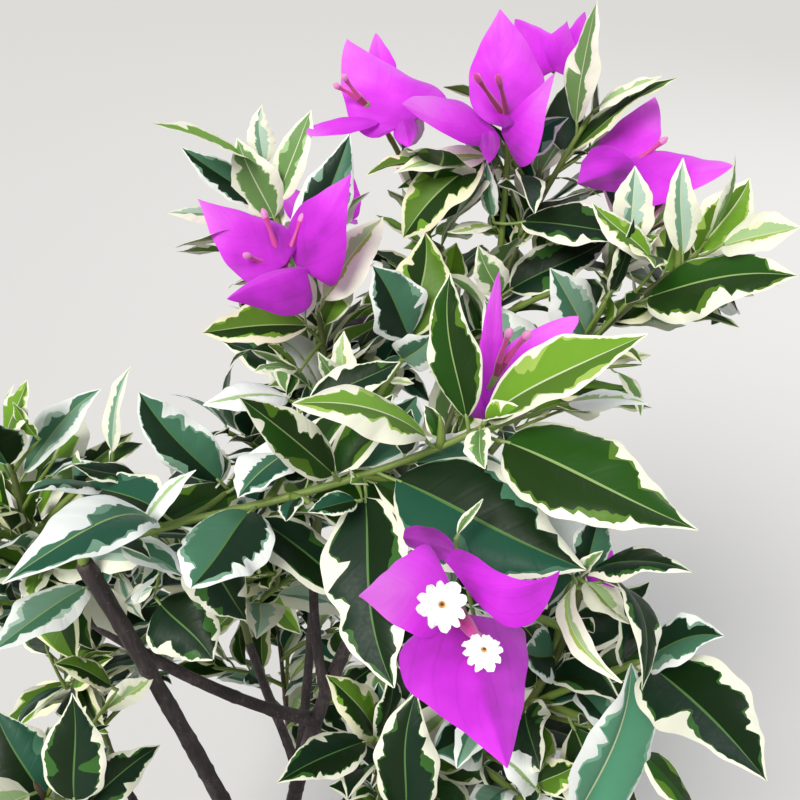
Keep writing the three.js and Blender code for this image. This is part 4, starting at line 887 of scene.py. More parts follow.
# Young growth: between the full leaves, on every shoot and on finer twigs from it, stand smaller
# leaves. A leaf that would cross another, leave its mass's space, close a gap or stand before a
# leaf or bloom of the picture is left out.
YOUNG_SPACING = 8
YOUNG_LENGTHS = (26, 44)
TWIG_SPACING = 16
TWIG_LENGTHS = (20, 38)
TWIG_LEAF_LENGTHS = (22, 38)
BUD_LEAF_LENGTHS = (10, 20)
YOUNG_GAP = 5.5
YOUNG_REACH = 45
VEIL_GAP = 3.4


def blade_width(share, petiole, fullness, point):
    """Half the width at a share of the length: a^f (1 - a)^p over its peak, a from the petiole on."""
    along = np.clip((share - petiole) / (1 - petiole), 0, 1)
    peak = fullness / (fullness + point)
    return along**fullness * (1 - along) ** point / (peak**fullness * (1 - peak) ** point)


def blade_axes(root, tip, facing):
    """A blade's length, the way it runs, the way it faces, made square to that, and its right."""
    ahead = unit(tip - root)
    over = squared(facing, ahead)
    return np.linalg.norm(tip - root), ahead, over, np.cross(ahead, over)


def bowed(height, share):
    """A bow so high in its middle, at a share of its span: 4 h s (1 - s)."""
    return 4 * height * share * (1 - share)


def blade_points(blade, shares, across):
    """Points of a blade: its midrib, bowed up, and so far to each side, folded up from it."""
    length, ahead, over, right = blade_axes(blade["root"], blade["tip"], blade["facing"])
    share = np.asarray(shares, float)[:, None, None]
    side = np.asarray(across, float)[None, :, None]
    half = blade["width"] / 2 * blade_width(share, blade["petiole"], *blade["shape"])
    rise = bowed(blade["arch"] * length, share) + np.abs(side) * half * math.sin(blade["fold"])
    sideways = right * side * half * math.cos(blade["fold"])
    return blade["root"] + ahead * length * share + over * rise + sideways


def samples(blade):
    return blade_points(blade, (0.35, 0.6, 0.85), (-0.6, 0, 0.6)).reshape(-1, 3)


def bloom_samples():
    """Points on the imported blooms: each triangle's middle and the middles of its sides."""
    found = []
    for name, node in frame["nodes"].items():
        if not name.startswith("bloom_"):
            continue
        places = np.array([vertex.co for vertex in node.data.vertices]) / MM
        corners = places[np.array([face.vertices for face in node.data.polygons])]
        found += [corners.mean(1), (corners + corners[:, [1, 2, 0]]).reshape(-1, 3) / 2]
    return np.concatenate(found)


def as_seen(points):
    return np.stack(on_picture(points), -1)


full_blades = [blade for shoots in CROWNS.values() for bearer in shoots for blade in bearer["blades"]]
bloom_points = bloom_samples()
standing = [samples(blade) for blade in full_blades] + [bloom_points]
shown_points = [blade_points(blade, np.linspace(0.15, 1, 9), (-0.8, -0.3, 0.3, 0.8)).reshape(-1, 3)
                for blade in full_blades if blade["rows"] == SHOWN_ROWS]
veil = as_seen(np.concatenate([bloom_points, *shown_points]))


def hides(points):
    """Whether a point stands before a leaf or bloom of the picture, nearer than VEIL_GAP beside it."""
    spots = as_seen(points)
    apart = np.linalg.norm(spots[:, None, :2] - veil[None, :, :2], axis=-1)
    reach = VEIL_GAP * FOCAL_LENGTH / veil[None, :, 2]
    return ((apart < reach) & (spots[:, None, 2] < veil[None, :, 2])).any()


def bare_before(bearer, fewest=1):
    """Whether a shoot of fewer leaves than so many, none of them shown, stands before one that is."""
    shown = any(blade["rows"] == SHOWN_ROWS for blade in bearer["blades"])
    if shown or len(bearer["blades"]) >= fewest:
        return False
    return hides(np.array([bearer["curve"].point(share) for share in (0.4, 0.6, 0.8, 1)]))


for shoots in CROWNS.values():
    shoots[:] = [bearer for bearer in shoots if not bare_before(bearer)]


def fits(name, blade):
    """Whether a young blade keeps its distance from all that stands and stays in its place."""
    middle = mix(blade["root"], blade["tip"], 0.6)
    if not inside(name, blade["tip"], 1.04) or in_opening(blade["tip"]) or in_opening(middle):
        return False
    mine = samples(blade)
    near = np.concatenate(standing)
    near = near[np.abs(near - mine[4]).max(1) < YOUNG_REACH]
    if len(near) and np.linalg.norm(near[:, None] - mine[None], axis=-1).min() < YOUNG_GAP:
        return False
    return not hides(mine)


def young_blade(curve, share, degrees, length, draw):
    """A young leaf at an angle round its shoot, leaning and facing a little at random."""
    root, tangent = curve.point(share), curve.tangent(share)
    ahead = unit(spoke(tangent, degrees) + tangent * draw.uniform(0.4, 1.3) + UP * draw.uniform(-0.3, 0.4))
    outside = unit((root - CROWN_AXIS) * at(1, 1, 0))
    facing = unit(UP + outside * draw.uniform(0.1, 0.8) + np.cross(ahead, UP) * draw.uniform(-0.7, 0.7))
    return new_blade(root, root + ahead * length, facing, length * draw.uniform(0.38, 0.5), YOUNG_ROWS,
                     draw.uniform(0.2, 0.7), draw.uniform(0.02, 0.14))


def add_young(name, bearer, count, lengths, draw):
    """Young leaves along a shoot. Each has four tries, a quarter turn apart, at a place that fits."""
    for index in range(count):
        for attempt in range(4):
            share = mix(0.12, 1, (index + draw.uniform(0.2, 0.9)) / count)
            degrees = LEAF_TURN * index + 90 * attempt + draw.uniform(0, 60)
            blade = young_blade(bearer["curve"], share, degrees, draw.uniform(*lengths), draw)
            if fits(name, blade):
                bearer["blades"].append(blade)
                standing.append(samples(blade))
                break


for number, (name, shoots) in enumerate(CROWNS.items()):
    draw = np.random.default_rng(200 + number)
    grown = []
    for bearer in shoots:
        curve = bearer["curve"]
        length = curve.length()
        twigs = []
        add_young(name, bearer, round(length / YOUNG_SPACING), YOUNG_LENGTHS, draw)
        for share in np.arange(0.25, 1.0, TWIG_SPACING / length):
            tangent = curve.tangent(share)
            onward = unit(spoke(tangent, draw.uniform(0, 360)) + tangent * 0.8 + UP * 0.3)
            end = curve.point(share) + onward * draw.uniform(*TWIG_LENGTHS)
            if inside(name, end, 0.95) and not in_opening(end) and not hides(end[None]):
                twig = shoot(shoot_curve(curve, share, end), 0, TWIG_RADII)
                add_young(name, twig, 4, TWIG_LEAF_LENGTHS, draw)
                if len(twig["blades"]) > 1 and not bare_before(twig, 3):
                    twigs.append(twig)
        add_young(name, bearer, 3, BUD_LEAF_LENGTHS, draw)
        by_rule = bearer["key"] % 100 < SHOWN_KEYS
        if twigs or not by_rule or bearer["blades"] and not bare_before(bearer, 3):
            grown += [bearer, *twigs]
    shoots[:] = grown


# Leaves: ovate blades on short petioles, drawn to a long point, dark green in the middle with a
# thin cream margin that runs in here and there, grey-green between the two, keeled along a pale
# midrib, waved and a little curled. The middles of a blade's two halves often differ, one a lighter
# or cooler green as painted sheen, the other darker as painted shade. Each zone of colour is a
# strip of the blade's own mesh.
# teal_sheen is dark green with a painted sky sheen in it.
ZONES = {
    "dark": rgb(14, 39, 8), "dark_cool": rgb(16, 44, 24), "teal_sheen": rgb(32, 82, 60),
    "green": rgb(34, 77, 14), "dark_olive": rgb(30, 58, 12), "mid": rgb(54, 100, 38),
    "mid_olive": rgb(84, 122, 32), "mid_cool": rgb(70, 118, 90), "lime": rgb(112, 158, 42),
    "lime_pale": rgb(160, 190, 86), "sage": rgb(110, 148, 84), "sage_pale": rgb(168, 198, 140),
    "grey": rgb(118, 158, 132), "grey_pale": rgb(178, 204, 184), "mint": rgb(82, 146, 112),
    "mint_pale": rgb(126, 178, 148), "cream": rgb(240, 240, 218), "ivory": rgb(236, 234, 196),
    "white": rgb(240, 244, 238), "rib_dark": rgb(84, 122, 62), "rib": rgb(146, 172, 106),
    "rib_pale": rgb(204, 214, 170),
}

# The looks of a leaf: the middle of its two halves, the band beside them, its margin and midrib,
# how far the middle reaches to each side, and how often a leaf in sun and one in shade has it.
# Two halves with different middles stand for painted sheen on one half and painted shade on the
# other.
LOOKS = {
    "deep": ("dark", "teal_sheen", "mid_cool", "cream", "rib_dark", (0.86, 0.88), 1, 4),
    "forest": ("dark", "dark_cool", "mid", "cream", "rib_dark", (0.86, 0.87), 3, 6),
    "cool": ("dark_cool", "mid_cool", "grey", "white", "rib_dark", (0.84, 0.88), 1, 3),
    "leafy": ("green", "dark_olive", "mid_olive", "cream", "rib", (0.88, 0.88), 3, 4),
    "olive": ("dark_olive", "mid_olive", "lime", "ivory", "rib", (0.76, 0.82), 4, 2),
    "lime": ("lime", "mid_olive", "lime_pale", "cream", "rib_pale", (0.86, 0.86), 3, 1),
    "limy": ("mid_olive", "lime", "lime_pale", "cream", "rib_pale", (0.7, 0.62), 2, 0),
    "sage": ("sage", "sage", "sage_pale", "cream", "rib_pale", (0.72, 0.62), 3, 1),
    "grey": ("mid_cool", "grey", "grey_pale", "white", "rib", (0.64, 0.7), 1, 2),
    "pale": ("grey", "grey_pale", "grey_pale", "cream", "rib_pale", (0.42, 0.56), 1, 1),
    "white": ("sage_pale", "white", "white", "white", "rib_pale", (0.34, 0.2), 0, 0),
    "ivory": ("sage_pale", "lime_pale", "ivory", "cream", "rib_pale", (0.5, 0.3), 2, 1),
    "mint": ("mint", "mint", "mint_pale", "white", "rib_pale", (0.86, 0.88), 0, 0),
    "halfwhite": ("teal_sheen", "mid_cool", "grey", "white", "rib", (0.86, 0.36), 1, 1),
}
SUNLIT = ("top_left", "top_back", "top_right", "left")
TURN = 2 * math.pi
SIDE_VEINS = 7


def blade_place(start):
    """How far to the side of the midrib, and how far along its blade, a point lies."""
    apart = start.node("SeparateXYZ", {"Vector": start.node("UVMap", uv_map="grain")})
    side = start.node("Math", {0: apart * 2.0 - 1.0}, operation="ABSOLUTE")
    return side, Shade(apart.tree, apart.socket.node.outputs["Y"])


def sine(turns):
    return turns.node("Math", {0: turns * TURN}, operation="SINE")


def leaf_material(name, colour):
    """Matt leaf skin with a fine grain and sunk side veins that slant forward."""
    made, shader, start = material("leaf_" + name, colour, 0.5)
    shader.inputs["Specular IOR Level"].default_value = 0.22
    grain = noise(start.node("TexCoord", out="Object"), 700.0, 2.0)
    side, along = blade_place(start)
    veins = ranged(sine(along * SIDE_VEINS - side * 0.6), 0.8, 1.0)
    feed(grain * 0.24 + 0.36, shader, "Roughness")
    raised(grain * 0.3 - veins * 0.6, shader, 0.3, 0.0002)
    return made


LEAF_MATERIALS = [leaf_material(name, colour) for name, colour in ZONES.items()]
ZONE_SLOTS = {name: slot for slot, name in enumerate(ZONES)}


def looks_of(light):
    """The names of the looks, each as often as a leaf in sun (0) or in shade (1) has it."""
    return np.repeat(list(LOOKS), [look[6 + light] for look in LOOKS.values()])


def waves(row, draw, sizes):
    """A sum of sine waves along the rows, each of its own size, about so many to the length."""
    return sum(size * np.sin(TURN * (draw.uniform(0.75, 1.25) * count * row + draw.uniform()))
               for count, size in sizes)


def notches(row, draw, count, depths, breadths):
    """The sum of some bays at random places, most of them towards the tip."""
    cut = np.zeros(len(row))
    for _ in range(count):
        place, breadth = 1 - 0.75 * draw.uniform() ** 1.3, draw.uniform(*breadths)
        cut += draw.uniform(*depths) * np.clip(1 - np.abs(row - place) / breadth, 0, 1) ** 0.6
    return cut


def zone_edges(rows, reach, draw):
    """How far the middle and the band beside it reach to the side in each row of one half."""
    row = np.linspace(0, 1, rows + 1)
    fine = rows / SHOWN_ROWS
    teeth = draw.uniform(-0.05, 0.04, rows + 1) * min(1, fine)
    outer = reach + waves(row, draw, ((1.3, 0.04), (4, 0.02), (11 * fine, 0.02))) + teeth
    outer -= notches(row, draw, draw.integers(1, 4), (0.1, 0.42), (0.03, 0.09))
    outer *= 1 - np.exp(-(1 - row) / 0.05) - 0.2 * np.exp(-row / 0.08)
    outer = np.clip(outer, 0.06, 0.95)
    band = 0.02 + np.abs(waves(row, draw, ((2, 0.04), (7, 0.04))))
    band = band + notches(row, draw, 2, (0.1, 0.5), (0.04, 0.14))
    return outer * (1 - np.clip(band, 0.02, 0.8)), outer


def blade_zones(blade, draw, spray):
    """How far across each column of a blade lies in every row, and the slot between each two."""
    rows = blade["rows"]
    look = LOOKS[blade["look"] or draw.choice(spray)]
    # A look's two middles give one half painted sheen and the other painted shade.
    halves, (band, margin, rib), reaches = look[:2], (ZONE_SLOTS[zone] for zone in look[2:5]), look[5]
    if not blade["look"] and draw.uniform() < 0.5:
        halves, reaches = halves[::-1], reaches[::-1]
    edges, zones = [], []
    for side, zone, reach in zip((-1, 1), halves, reaches):
        if not blade["look"]:
            reach += draw.uniform(-0.12, 0.06)
        inner, outer = zone_edges(rows, reach, draw)
        none = np.zeros(rows + 1)
        middle = ZONE_SLOTS[zone]
        if rows == SHOWN_ROWS:
            columns = [none, none + 0.03, 0.35 * inner, 0.7 * inner, inner]
            columns += [outer, (outer + 1) / 2, none + 1]
            kinds = [rib, middle, middle, middle, band, margin, margin]
        elif rows == RULE_ROWS:
            columns = [none, none + 0.04, inner, outer, none + 1]
            kinds = [rib, middle, band, margin]
        else:
            columns = [none, inner, outer, none + 1]
            kinds = [middle, band, margin]
        across = np.stack(columns, 1) * side
        edges.append(across[:, :0:-1] if side < 0 else across)
        zones += kinds[::-1] if side < 0 else kinds
    return np.concatenate(edges, 1), zones


def sheet(root, length, axes, share, sideways, upward):
    """The points of a sheet: so far along, to the side and up from its root, by its three axes."""
    ahead, over, right = axes
    along = ahead * (length * share)[..., None]
    return root + along + right * sideways[..., None] + over * upward[..., None]


def grow_blade(growth, blade, draw, spray):
    """A blade on a grid: rows slant forward with the side veins, columns follow the zones' edges."""
    across, zones = blade_zones(blade, draw, spray)
    length, *axes = blade_axes(blade["root"], blade["tip"], blade["facing"])
    rows, petiole = blade["rows"], blade["petiole"]
    far = np.abs(across)
    row = np.linspace(0, 1, rows + 1)[:, None]
    slant = row + 0.16 * far * np.sin(np.pi * row) * (1 - row) ** 0.5
    share = petiole + (1 - petiole) * slant
    half = blade["width"] / 2 * blade_width(share, petiole, *blade["shape"]) + 0.25
    ripple = 1 + blade["wavy"] * far * waves(row, draw, ((2.4, 0.05), (5, 0.025)))
    fold = blade["fold"] * (1.3 - 0.6 * row) - draw.uniform(0.1, 0.5) * far**2
    wave = blade["wavy"] * draw.uniform(0.06, 0.16) * np.sin(
        TURN * (draw.uniform(1.2, 2.2) * row + draw.uniform()) + across)
    quilt = 0.004 * length * np.sin(TURN * SIDE_VEINS * row) * far * (1 - far)
    sway = draw.uniform(-0.09, 0.09) * length * np.sin(np.pi * row) * row
    twist = draw.uniform(-0.35, 0.35) * np.sin(np.pi * row * 0.5) * row
    hook = draw.uniform(-0.25, 0.35) * length * share**3 * (1 - share)
    rise = bowed(blade["arch"] * length, share) + hook
    sideways = across * half * ripple * np.cos(fold) + sway
    upward = rise + far * half * np.sin(fold) + wave * half * far**2 + quilt + twist * across * half
    points = sheet(blade["root"], length, axes, share, sideways, upward)
    uvs = np.stack([across / 2 + 0.5, np.broadcast_to(row, across.shape)], -1)
    growth.add(points, uvs, [(quads(rows + 1, across.shape[1]), np.tile(zones, rows))])


def grained(name, colour, roughness, scale, detail, strength, depth, sheen=0.0):
    """An even colour under a fine grain that stands up a little and is duller where it does."""
    made, shader, start = material(name, colour, roughness, sheen)
    grain = noise(start.node("TexCoord", out="Object"), scale, detail)
    feed(grain * 0.3 + (roughness - 0.15), shader, "Roughness")
    raised(grain, shader, strength, depth)
    return made


SHOOT_COLOURS = {"shoot_green": rgb(116, 138, 60), "shoot_olive": rgb(88, 98, 50),
                 "petiole": rgb(140, 162, 92), "shoot_brown": rgb(86, 70, 56)}
SHOOT_MATERIALS = [grained(name, colour, 0.5, 1400.0, 3.0, 0.35, 0.0004)
                   for name, colour in SHOOT_COLOURS.items()]
GREEN, OLIVE, PETIOLE, BROWN = range(4)
NODE_SPACING = 16
NODE_BREADTH = 1.6
BUD_LENGTH = 4


def grow_shoot(growth, bearer, first_node, slot):
    """A shoot: it tapers, swells a little at its nodes and ends in a bud."""
    length = bearer["curve"].length()
    first, last = bearer["radii"]

    def radius_at(share, angle):
        from_node = (share * length + first_node) % NODE_SPACING - NODE_SPACING // 2
        swell = 1 + 0.16 * np.exp(-(from_node / NODE_BREADTH) ** 2)
        bud = np.clip((1.01 - share) * length / BUD_LENGTH, 0.3, 1)
        return (first + (last - first) * share) * swell * bud

    tube(growth, bearer["curve"], max(4, int(length / 3)), 8 if first > 1 else 6, radius_at, slot)


def grow_petiole(growth, blade):
    """The stalk of a leaf: thin and a little sagging, to just past the foot of its blade."""
    root, tip, petiole = blade["root"], blade["tip"], blade["petiole"]
    length, _, over, _ = blade_axes(root, tip, blade["facing"])
    foot = mix(root, tip, petiole + 0.03)
    stalk = Limb(root, mix(root, foot, 0.5) - UP * 0.4, foot + over * 4 * blade["arch"] * length * petiole)
    thick = 0.75 if blade["rows"] > YOUNG_ROWS else 0.5
    tube(growth, stalk, 3, 5, lambda share, angle: thick * (1 - 0.2 * share), PETIOLE)


for number, (name, shoots) in enumerate(CROWNS.items()):
    draw = np.random.default_rng(500 + number)
    leaves, shoots_grown = Growth(), Growth()
    looks = looks_of(0 if name in SUNLIT else 1)
    low = name.endswith(("under", "low"))
    stem_slot = GREEN if name == "front_centre" else BROWN if low else OLIVE
    for place, bearer in enumerate(shoots):
        first_node = draw.uniform(0, NODE_SPACING)
        spray = draw.choice(looks, 4)
        grow_shoot(shoots_grown, bearer, first_node, GREEN if place else stem_slot)
        for blade in bearer["blades"]:
            grow_blade(leaves, blade, draw, spray)
            grow_petiole(shoots_grown, blade)
    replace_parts(leaves.piece("leaves_" + name, LEAF_MATERIALS, "leaf"), "foliage_" + name)
    shoots_grown.piece("shoots_" + name, SHOOT_MATERIALS, "leaf")


# Blooms: three papery bracts round a throat, bright magenta, paler towards their tips and deeper at
# the throat, partly their own colour and partly painted shade, creased along the midrib and curved
# like sails, and before each bract a slender rose tube with a pale bud. An open tube spreads into a
# small white star of uneven, frilled lobes with an orange throat round a dark middle of painted
# shade inside the tube.
BRACT_LENGTH = 40
BRACT_SHAPE = (0.42, 0.9)
BRACT_ROWS = 30
BRACT_COLUMNS = 19
TUBE_LENGTH = 21
TUBE_RADIUS = 1.05
STAR_RADIUS = 6.3
STAR_LOBES = 5


def bract(tip, long, face=None, wide=(0.4, 0.4), far=False, fold=(0.35, 0.35), bow=-0.05, sway=0.0,
          foot=None, shapes=(BRACT_SHAPE, BRACT_SHAPE), tones=(1.0, 1.0)):
    """A bract: its tip and length, and for its left and right half the width, fold, shape and tone;
    the tone pales or deepens that half as painted light and painted shade.
    """
    return {"tip": tip, "long": long, "face": face, "wide": wide, "far": far, "fold": fold, "bow": bow,
            "sway": sway, "foot": foot, "shapes": shapes, "tones": tones}


def tube_at(tip, long=19, star=None, size=1.0, deep=False):
    """A tube flower of the picture. An open one has the way its star looks, and the star's size."""
    return {"tip": tip, "long": long, "star": star, "size": size, "deep": deep}


# Tones above 1 pale a bract's half and tones below 1 deepen it, as painted light and painted shade; the
# small fourth lobes are toned deep as painted shade.
BRACTS = {
    "top_left": ([
        bract((198, 199), 44, (0.05, 0.5, 0.85), far=True, foot=(287, 266, 344), wide=(0.35, 0.36),
              fold=(0.15, 0.1), shapes=((0.36, 1.15), (0.36, 1.25)), bow=-0.02, tones=(1.2, 1.1)),
        bract((351, 174), 45, (-0.15, 0.4, 0.9), foot=(295, 268, 350), wide=(0.35, 0.36),
              fold=(0.1, -0.3), shapes=((0.42, 1.1), (0.1, 1.1)), bow=-0.02, tones=(1.1, 0.8)),
        bract((227, 299), 38, (-0.1, 0.7, 0.7), foot=(308, 268, 346), wide=(0.42, 0.14),
              fold=(-0.8, 0.1), shapes=((0.24, 0.9), (0.3, 0.8)), bow=0.04, tones=(0.1, 0.5)),
    ], [tube_at((262, 208), 23), tube_at((304, 212), 23), tube_at((243, 254), 20)]),
    "top_centre": ([
        bract((500, 9), 50, (0.0, 0.5, 0.86), far=True, foot=(504, 130, 346), wide=(0.26, 0.35),
              fold=(0.25, 0.1), shapes=((0.6, 1.1), (0.65, 1.05)), tones=(1.1, 1.1)),
        bract((402, 104), 42, (0.0, 0.5, 0.86), foot=(500, 134, 352), wide=(0.14, 0.42),
              fold=(-0.3, 0.1), shapes=((0.4, 1.1), (0.95, 1.0)), tones=(0.9, 1.1)),
        bract((555, 73), 34, (0.1, 0.4, 0.9), foot=(500, 134, 352), wide=(0.1, 0.54), fold=(0.4, 0.05),
              shapes=((0.5, 0.9), (0.14, 1.2)), tones=(1.6, 2.0)),
        bract((489, 163), 14, foot=(489, 130, 350), wide=(0.3, 0.26), fold=(0.2, 0.2), tones=(0.2, 0.3)),
    ], [tube_at((474, 73), 30, deep=True), tube_at((497, 74), 28, deep=True)]),
    "far_left": ([
        bract((347, 39), 52, (0.05, 0.42, 0.9), far=True, foot=(405, 127, 366), wide=(0.31, 0.48),
              fold=(-0.1, 0.1), shapes=((0.35, 0.8), (0.3, 1.2)), tones=(1.3, 1.3)),
        bract((306, 132), 30, (0.0, 0.6, 0.8), foot=(380, 122, 368), wide=(0.17, 0.17), fold=(0.2, 0.2),
              sway=0.1, shapes=((0.5, 0.35), (0.5, 0.35))),
        bract((376, 33), 27, (0.1, 0.4, 0.9), far=True, foot=(386, 84, 386), wide=(0.22, 0.22)),
        bract((409, 147), 12, foot=(403, 120, 366), wide=(0.45, 0.45), tones=(0.3, 0.5)),
    ], [tube_at((333, 84), 17), tube_at((342, 74), 18)]),
    "far_top": ([
        bract((515, 19), 27, (-0.1, 0.4, 0.9), foot=(554, 72, 386), wide=(0.32, 0.44), fold=(0.1, 0.1)),
        bract((567, 21), 24, (0.0, 0.5, 0.85), foot=(554, 72, 386), wide=(0.44, 0.4), fold=(0.1, 0.1),
              shapes=((0.3, 1.2), (0.3, 1.2)), tones=(1.2, 1.2)),
        bract((585, 12), 28, (0.1, 0.4, 0.9), foot=(562, 66, 384), wide=(0.2, 0.2), fold=(0.1, 0.1)),
    ], [tube_at((540, 78), 9)]),
    "top_right": ([
        bract((655, 97), 40, (-0.1, 0.4, 0.9), far=True, foot=(616, 168, 364), wide=(0.3, 0.26),
              fold=(0.15, 0.15), shapes=((0.36, 1.0), (0.5, 0.8)), tones=(1.1, 1.1)),
        bract((733, 166), 48, (0.1, 0.45, 0.88), foot=(614, 170, 362), wide=(0.3, 0.28),
              fold=(0.1, -0.2), shapes=((0.36, 0.8), (0.4, 0.9)), tones=(1.1, 0.9)),
        bract((577, 184), 28, (-0.1, 0.45, 0.88), foot=(632, 158, 362), wide=(0.5, 0.5),
              fold=(0.15, 0.15), bow=-0.06, shapes=((0.4, 1.25), (0.5, 1.2)), tones=(-0.3, 0.5)),
    ], [tube_at((668, 137), 16)]),
    "centre": ([
        bract((499, 272), 50, (0.3, 0.3, 0.9), wide=(0.1, 0.08), far=True, foot=(493, 416, 298),
              fold=(0.2, 0.2)),
        bract((578, 316), 46, (-0.2, 0.5, 0.85), wide=(0.17, 0.2), far=True, foot=(500, 420, 298),
              sway=-0.16, shapes=((0.28, 0.6), (0.28, 0.6)), fold=(0.3, 0.1)),
        bract((464, 374), 20, (0.3, 0.3, 0.9), wide=(0.3, 0.3), far=True, foot=(486, 420, 298),
              tones=(0.4, 0.4)),
    ], [tube_at((511, 328), 22), tube_at((531, 331), 22)]),
    "front": ([
        bract((359, 596), 31, (-0.15, 0.45, 0.88), foot=(454, 588, 238), wide=(0.38, 0.44),
              fold=(-0.1, 0.05), shapes=((0.6, 1.3), (0.1, 1.05)), bow=-0.02, tones=(1.5, 1.8)),
        bract((560, 571), 37, (0.05, 0.35, 0.93), foot=(444, 560, 238), wide=(0.17, 0.25),
              fold=(0.4, -0.1), shapes=((0.5, 2.0), (1.7, 0.72)), bow=-0.04, sway=0.15, tones=(0.4, 0.1)),
        bract((403, 538), 18, (0.2, -0.4, 0.9), foot=(457, 554, 242), wide=(0.24, 0.3), far=True,
              fold=(0.2, 0.2), shapes=((0.3, 0.35), (0.4, 0.4)), tones=(-0.5, -0.3)),
        bract((507, 768), 48, (0.0, 0.2, 0.97), foot=(455, 610, 236), wide=(0.42, 0.39),
              fold=(-0.35, -0.05), shapes=((0.07, 0.95), (0.25, 1.15)), bow=0.02, tones=(0.15, 0.65)),
    ], [tube_at((442, 604), 17, (0.0, 0.08, 1.0)), tube_at((485, 648), 20, (-0.3, -0.15, 0.94), 0.8),
        tube_at((484, 644), 16)]),
}


def magenta():
    """Papery magenta: deep at the throat, partly its own colour and partly painted shade where the
    bracts meet, paler towards the tip, with soft, faint ribs.
    """
    made, shader, start = material("bract_magenta", rgb(226, 50, 236), 0.6, sheen=0.25)
    place = start.node("TexCoord", out="Object")
    soft, fine = noise(place, 55.0, 2.0), noise(place, 500.0, 3.0)
    side, along = blade_place(start)
    ribs = sine(along * 6.0 - side * 2.4 + soft * 0.8)
    colour = toned(along * 0.5 + soft * 0.6 - ranged(ribs, 0.86, 1.0) * 0.04 + fine * 0.06, [
        (0.2, rgb(108, 4, 114)), (0.42, rgb(206, 26, 222)),
        (0.62, rgb(240, 58, 252)), (0.95, rgb(252, 128, 255))])
    feed(colour, shader, "Base Color")
    bump = raised(ribs * 0.06 + soft * 1.2 + fine * 0.25, shader, 0.4, 0.0008)
    through = start.node("BsdfTranslucent", {"Color": rgb(238, 62, 248), "Normal": bump})
    both = start.node("MixShader", {0: 0.3, 2: through})
    made.node_tree.links.new(shader.outputs[0], both.socket.node.inputs[1])
    made.node_tree.links.new(both.socket, made.node_tree.nodes["Material Output"].inputs["Surface"])
    return made


MAGENTA = magenta()
FLOWER_COLOURS = {
    "tube_rose": (rgb(206, 60, 150), 0.5),
    "tube_deep": (rgb(158, 20, 96), 0.5),
    "bud_pale": (rgb(228, 136, 198), 0.5),
    "star_white": (rgb(250, 249, 244), 0.55),
    "throat_orange": (rgb(214, 160, 84), 0.6),
    # The star's dark middle: painted shade inside the open tube.
    "throat_hole_shade": (rgb(104, 62, 22), 0.6),
    "stalk_green": (rgb(124, 140, 72), 0.5),
}
FLOWER_MATERIALS = [grained(name, colour, roughness, 1100.0, 2.0, 0.3, 0.0003, sheen=0.4)
                    for name, (colour, roughness) in FLOWER_COLOURS.items()]
ROSE, DEEP, BUD, STAR, THROAT, HOLE_SHADE, STALK = range(len(FLOWER_MATERIALS))


def grow_bract(growth, root, tip, facing, given, draw):
    """A bract on an even grid. Each half has its width, fold and shape; all of it bows and sways."""
    length, *axes = blade_axes(root, tip, facing)
    row = np.linspace(0, 1, BRACT_ROWS + 1)[:, None]
    across = np.linspace(-1, 1, BRACT_COLUMNS)[None]
    far = np.abs(across)
    share = 0.02 + 0.98 * row + 0.06 * far * np.sin(np.pi * row) * (1 - row)
    left_half, right_half = (wide * length * blade_width(share, 0.02, *shape) + 0.15
                             for wide, shape in zip(given["wide"], given["shapes"]))
    half = np.where(across < 0, left_half, right_half)
    fold = np.where(across < 0, *given["fold"]) * (1.15 - 0.4 * row) - 0.22 * far**2
    ripple = 1 + 0.02 * far * np.sin(TURN * (3.3 * row + draw.uniform()))
    wave = 0.08 * np.sin(TURN * (1.1 * row + draw.uniform()) + 1.5 * across) * far**2
    upward = bowed(given["bow"] * length, share) + half * (far * np.sin(fold) + wave)
    sideways = across * half * ripple * np.cos(fold) + bowed(given["sway"] * length, share)
    points = sheet(root, length, axes, share, sideways, upward)
    # Each half's tone pales or deepens its magenta: painted light and painted shade.
    tone = np.interp(across, (-0.12, 0.12), given["tones"])
    uvs = np.stack(np.broadcast_arrays(across / 2 + 0.5, row * tone), -1)
    growth.add(points, uvs, [(quads(BRACT_ROWS + 1, BRACT_COLUMNS), 0)])


def hump(share, middle, breadth):
    """A smooth hump, 1 high at its middle: e^-((s - m) / b)^2."""
    return np.exp(-(((share - middle) / breadth) ** 2))


def grow_tube(growth, root, tip, star, draw, size=1.0, deep=False):
    """A tube flower: ribbed, swollen low down and pinched above. A closed one ends in a blunt bud."""
    thick = TUBE_RADIUS if star is None else 1.6 * TUBE_RADIUS
    curve = Limb(root, mix(root, tip, 0.5) + draw.uniform(-1, 1, 3), tip)

    def radius_at(share, angle):
        body = 1 + 0.2 * hump(share, 0.25, 0.16) - 0.25 * hump(share, 0.66, 0.12)
        mouth = 0.3 * hump(share, 0.9, 0.07) if star is None else 0
        end = np.sqrt(np.clip((1.002 - share) / 0.07, 0.02, 1))
        return thick * (body + mouth) * end * (1 + 0.1 * np.cos(STAR_LOBES * angle))

    rings = np.arange(26)
    low, middle, bud = (DEEP, DEEP, ROSE) if deep else (DEEP, ROSE, BUD)
    slots = np.where(rings < 8, low, np.where((rings < 22) | (star is not None), middle, bud))
    tube(growth, curve, len(rings), 16, radius_at, slots)
    if star is not None:
        grow_star(growth, tip + star * 1.7, star, draw, size)


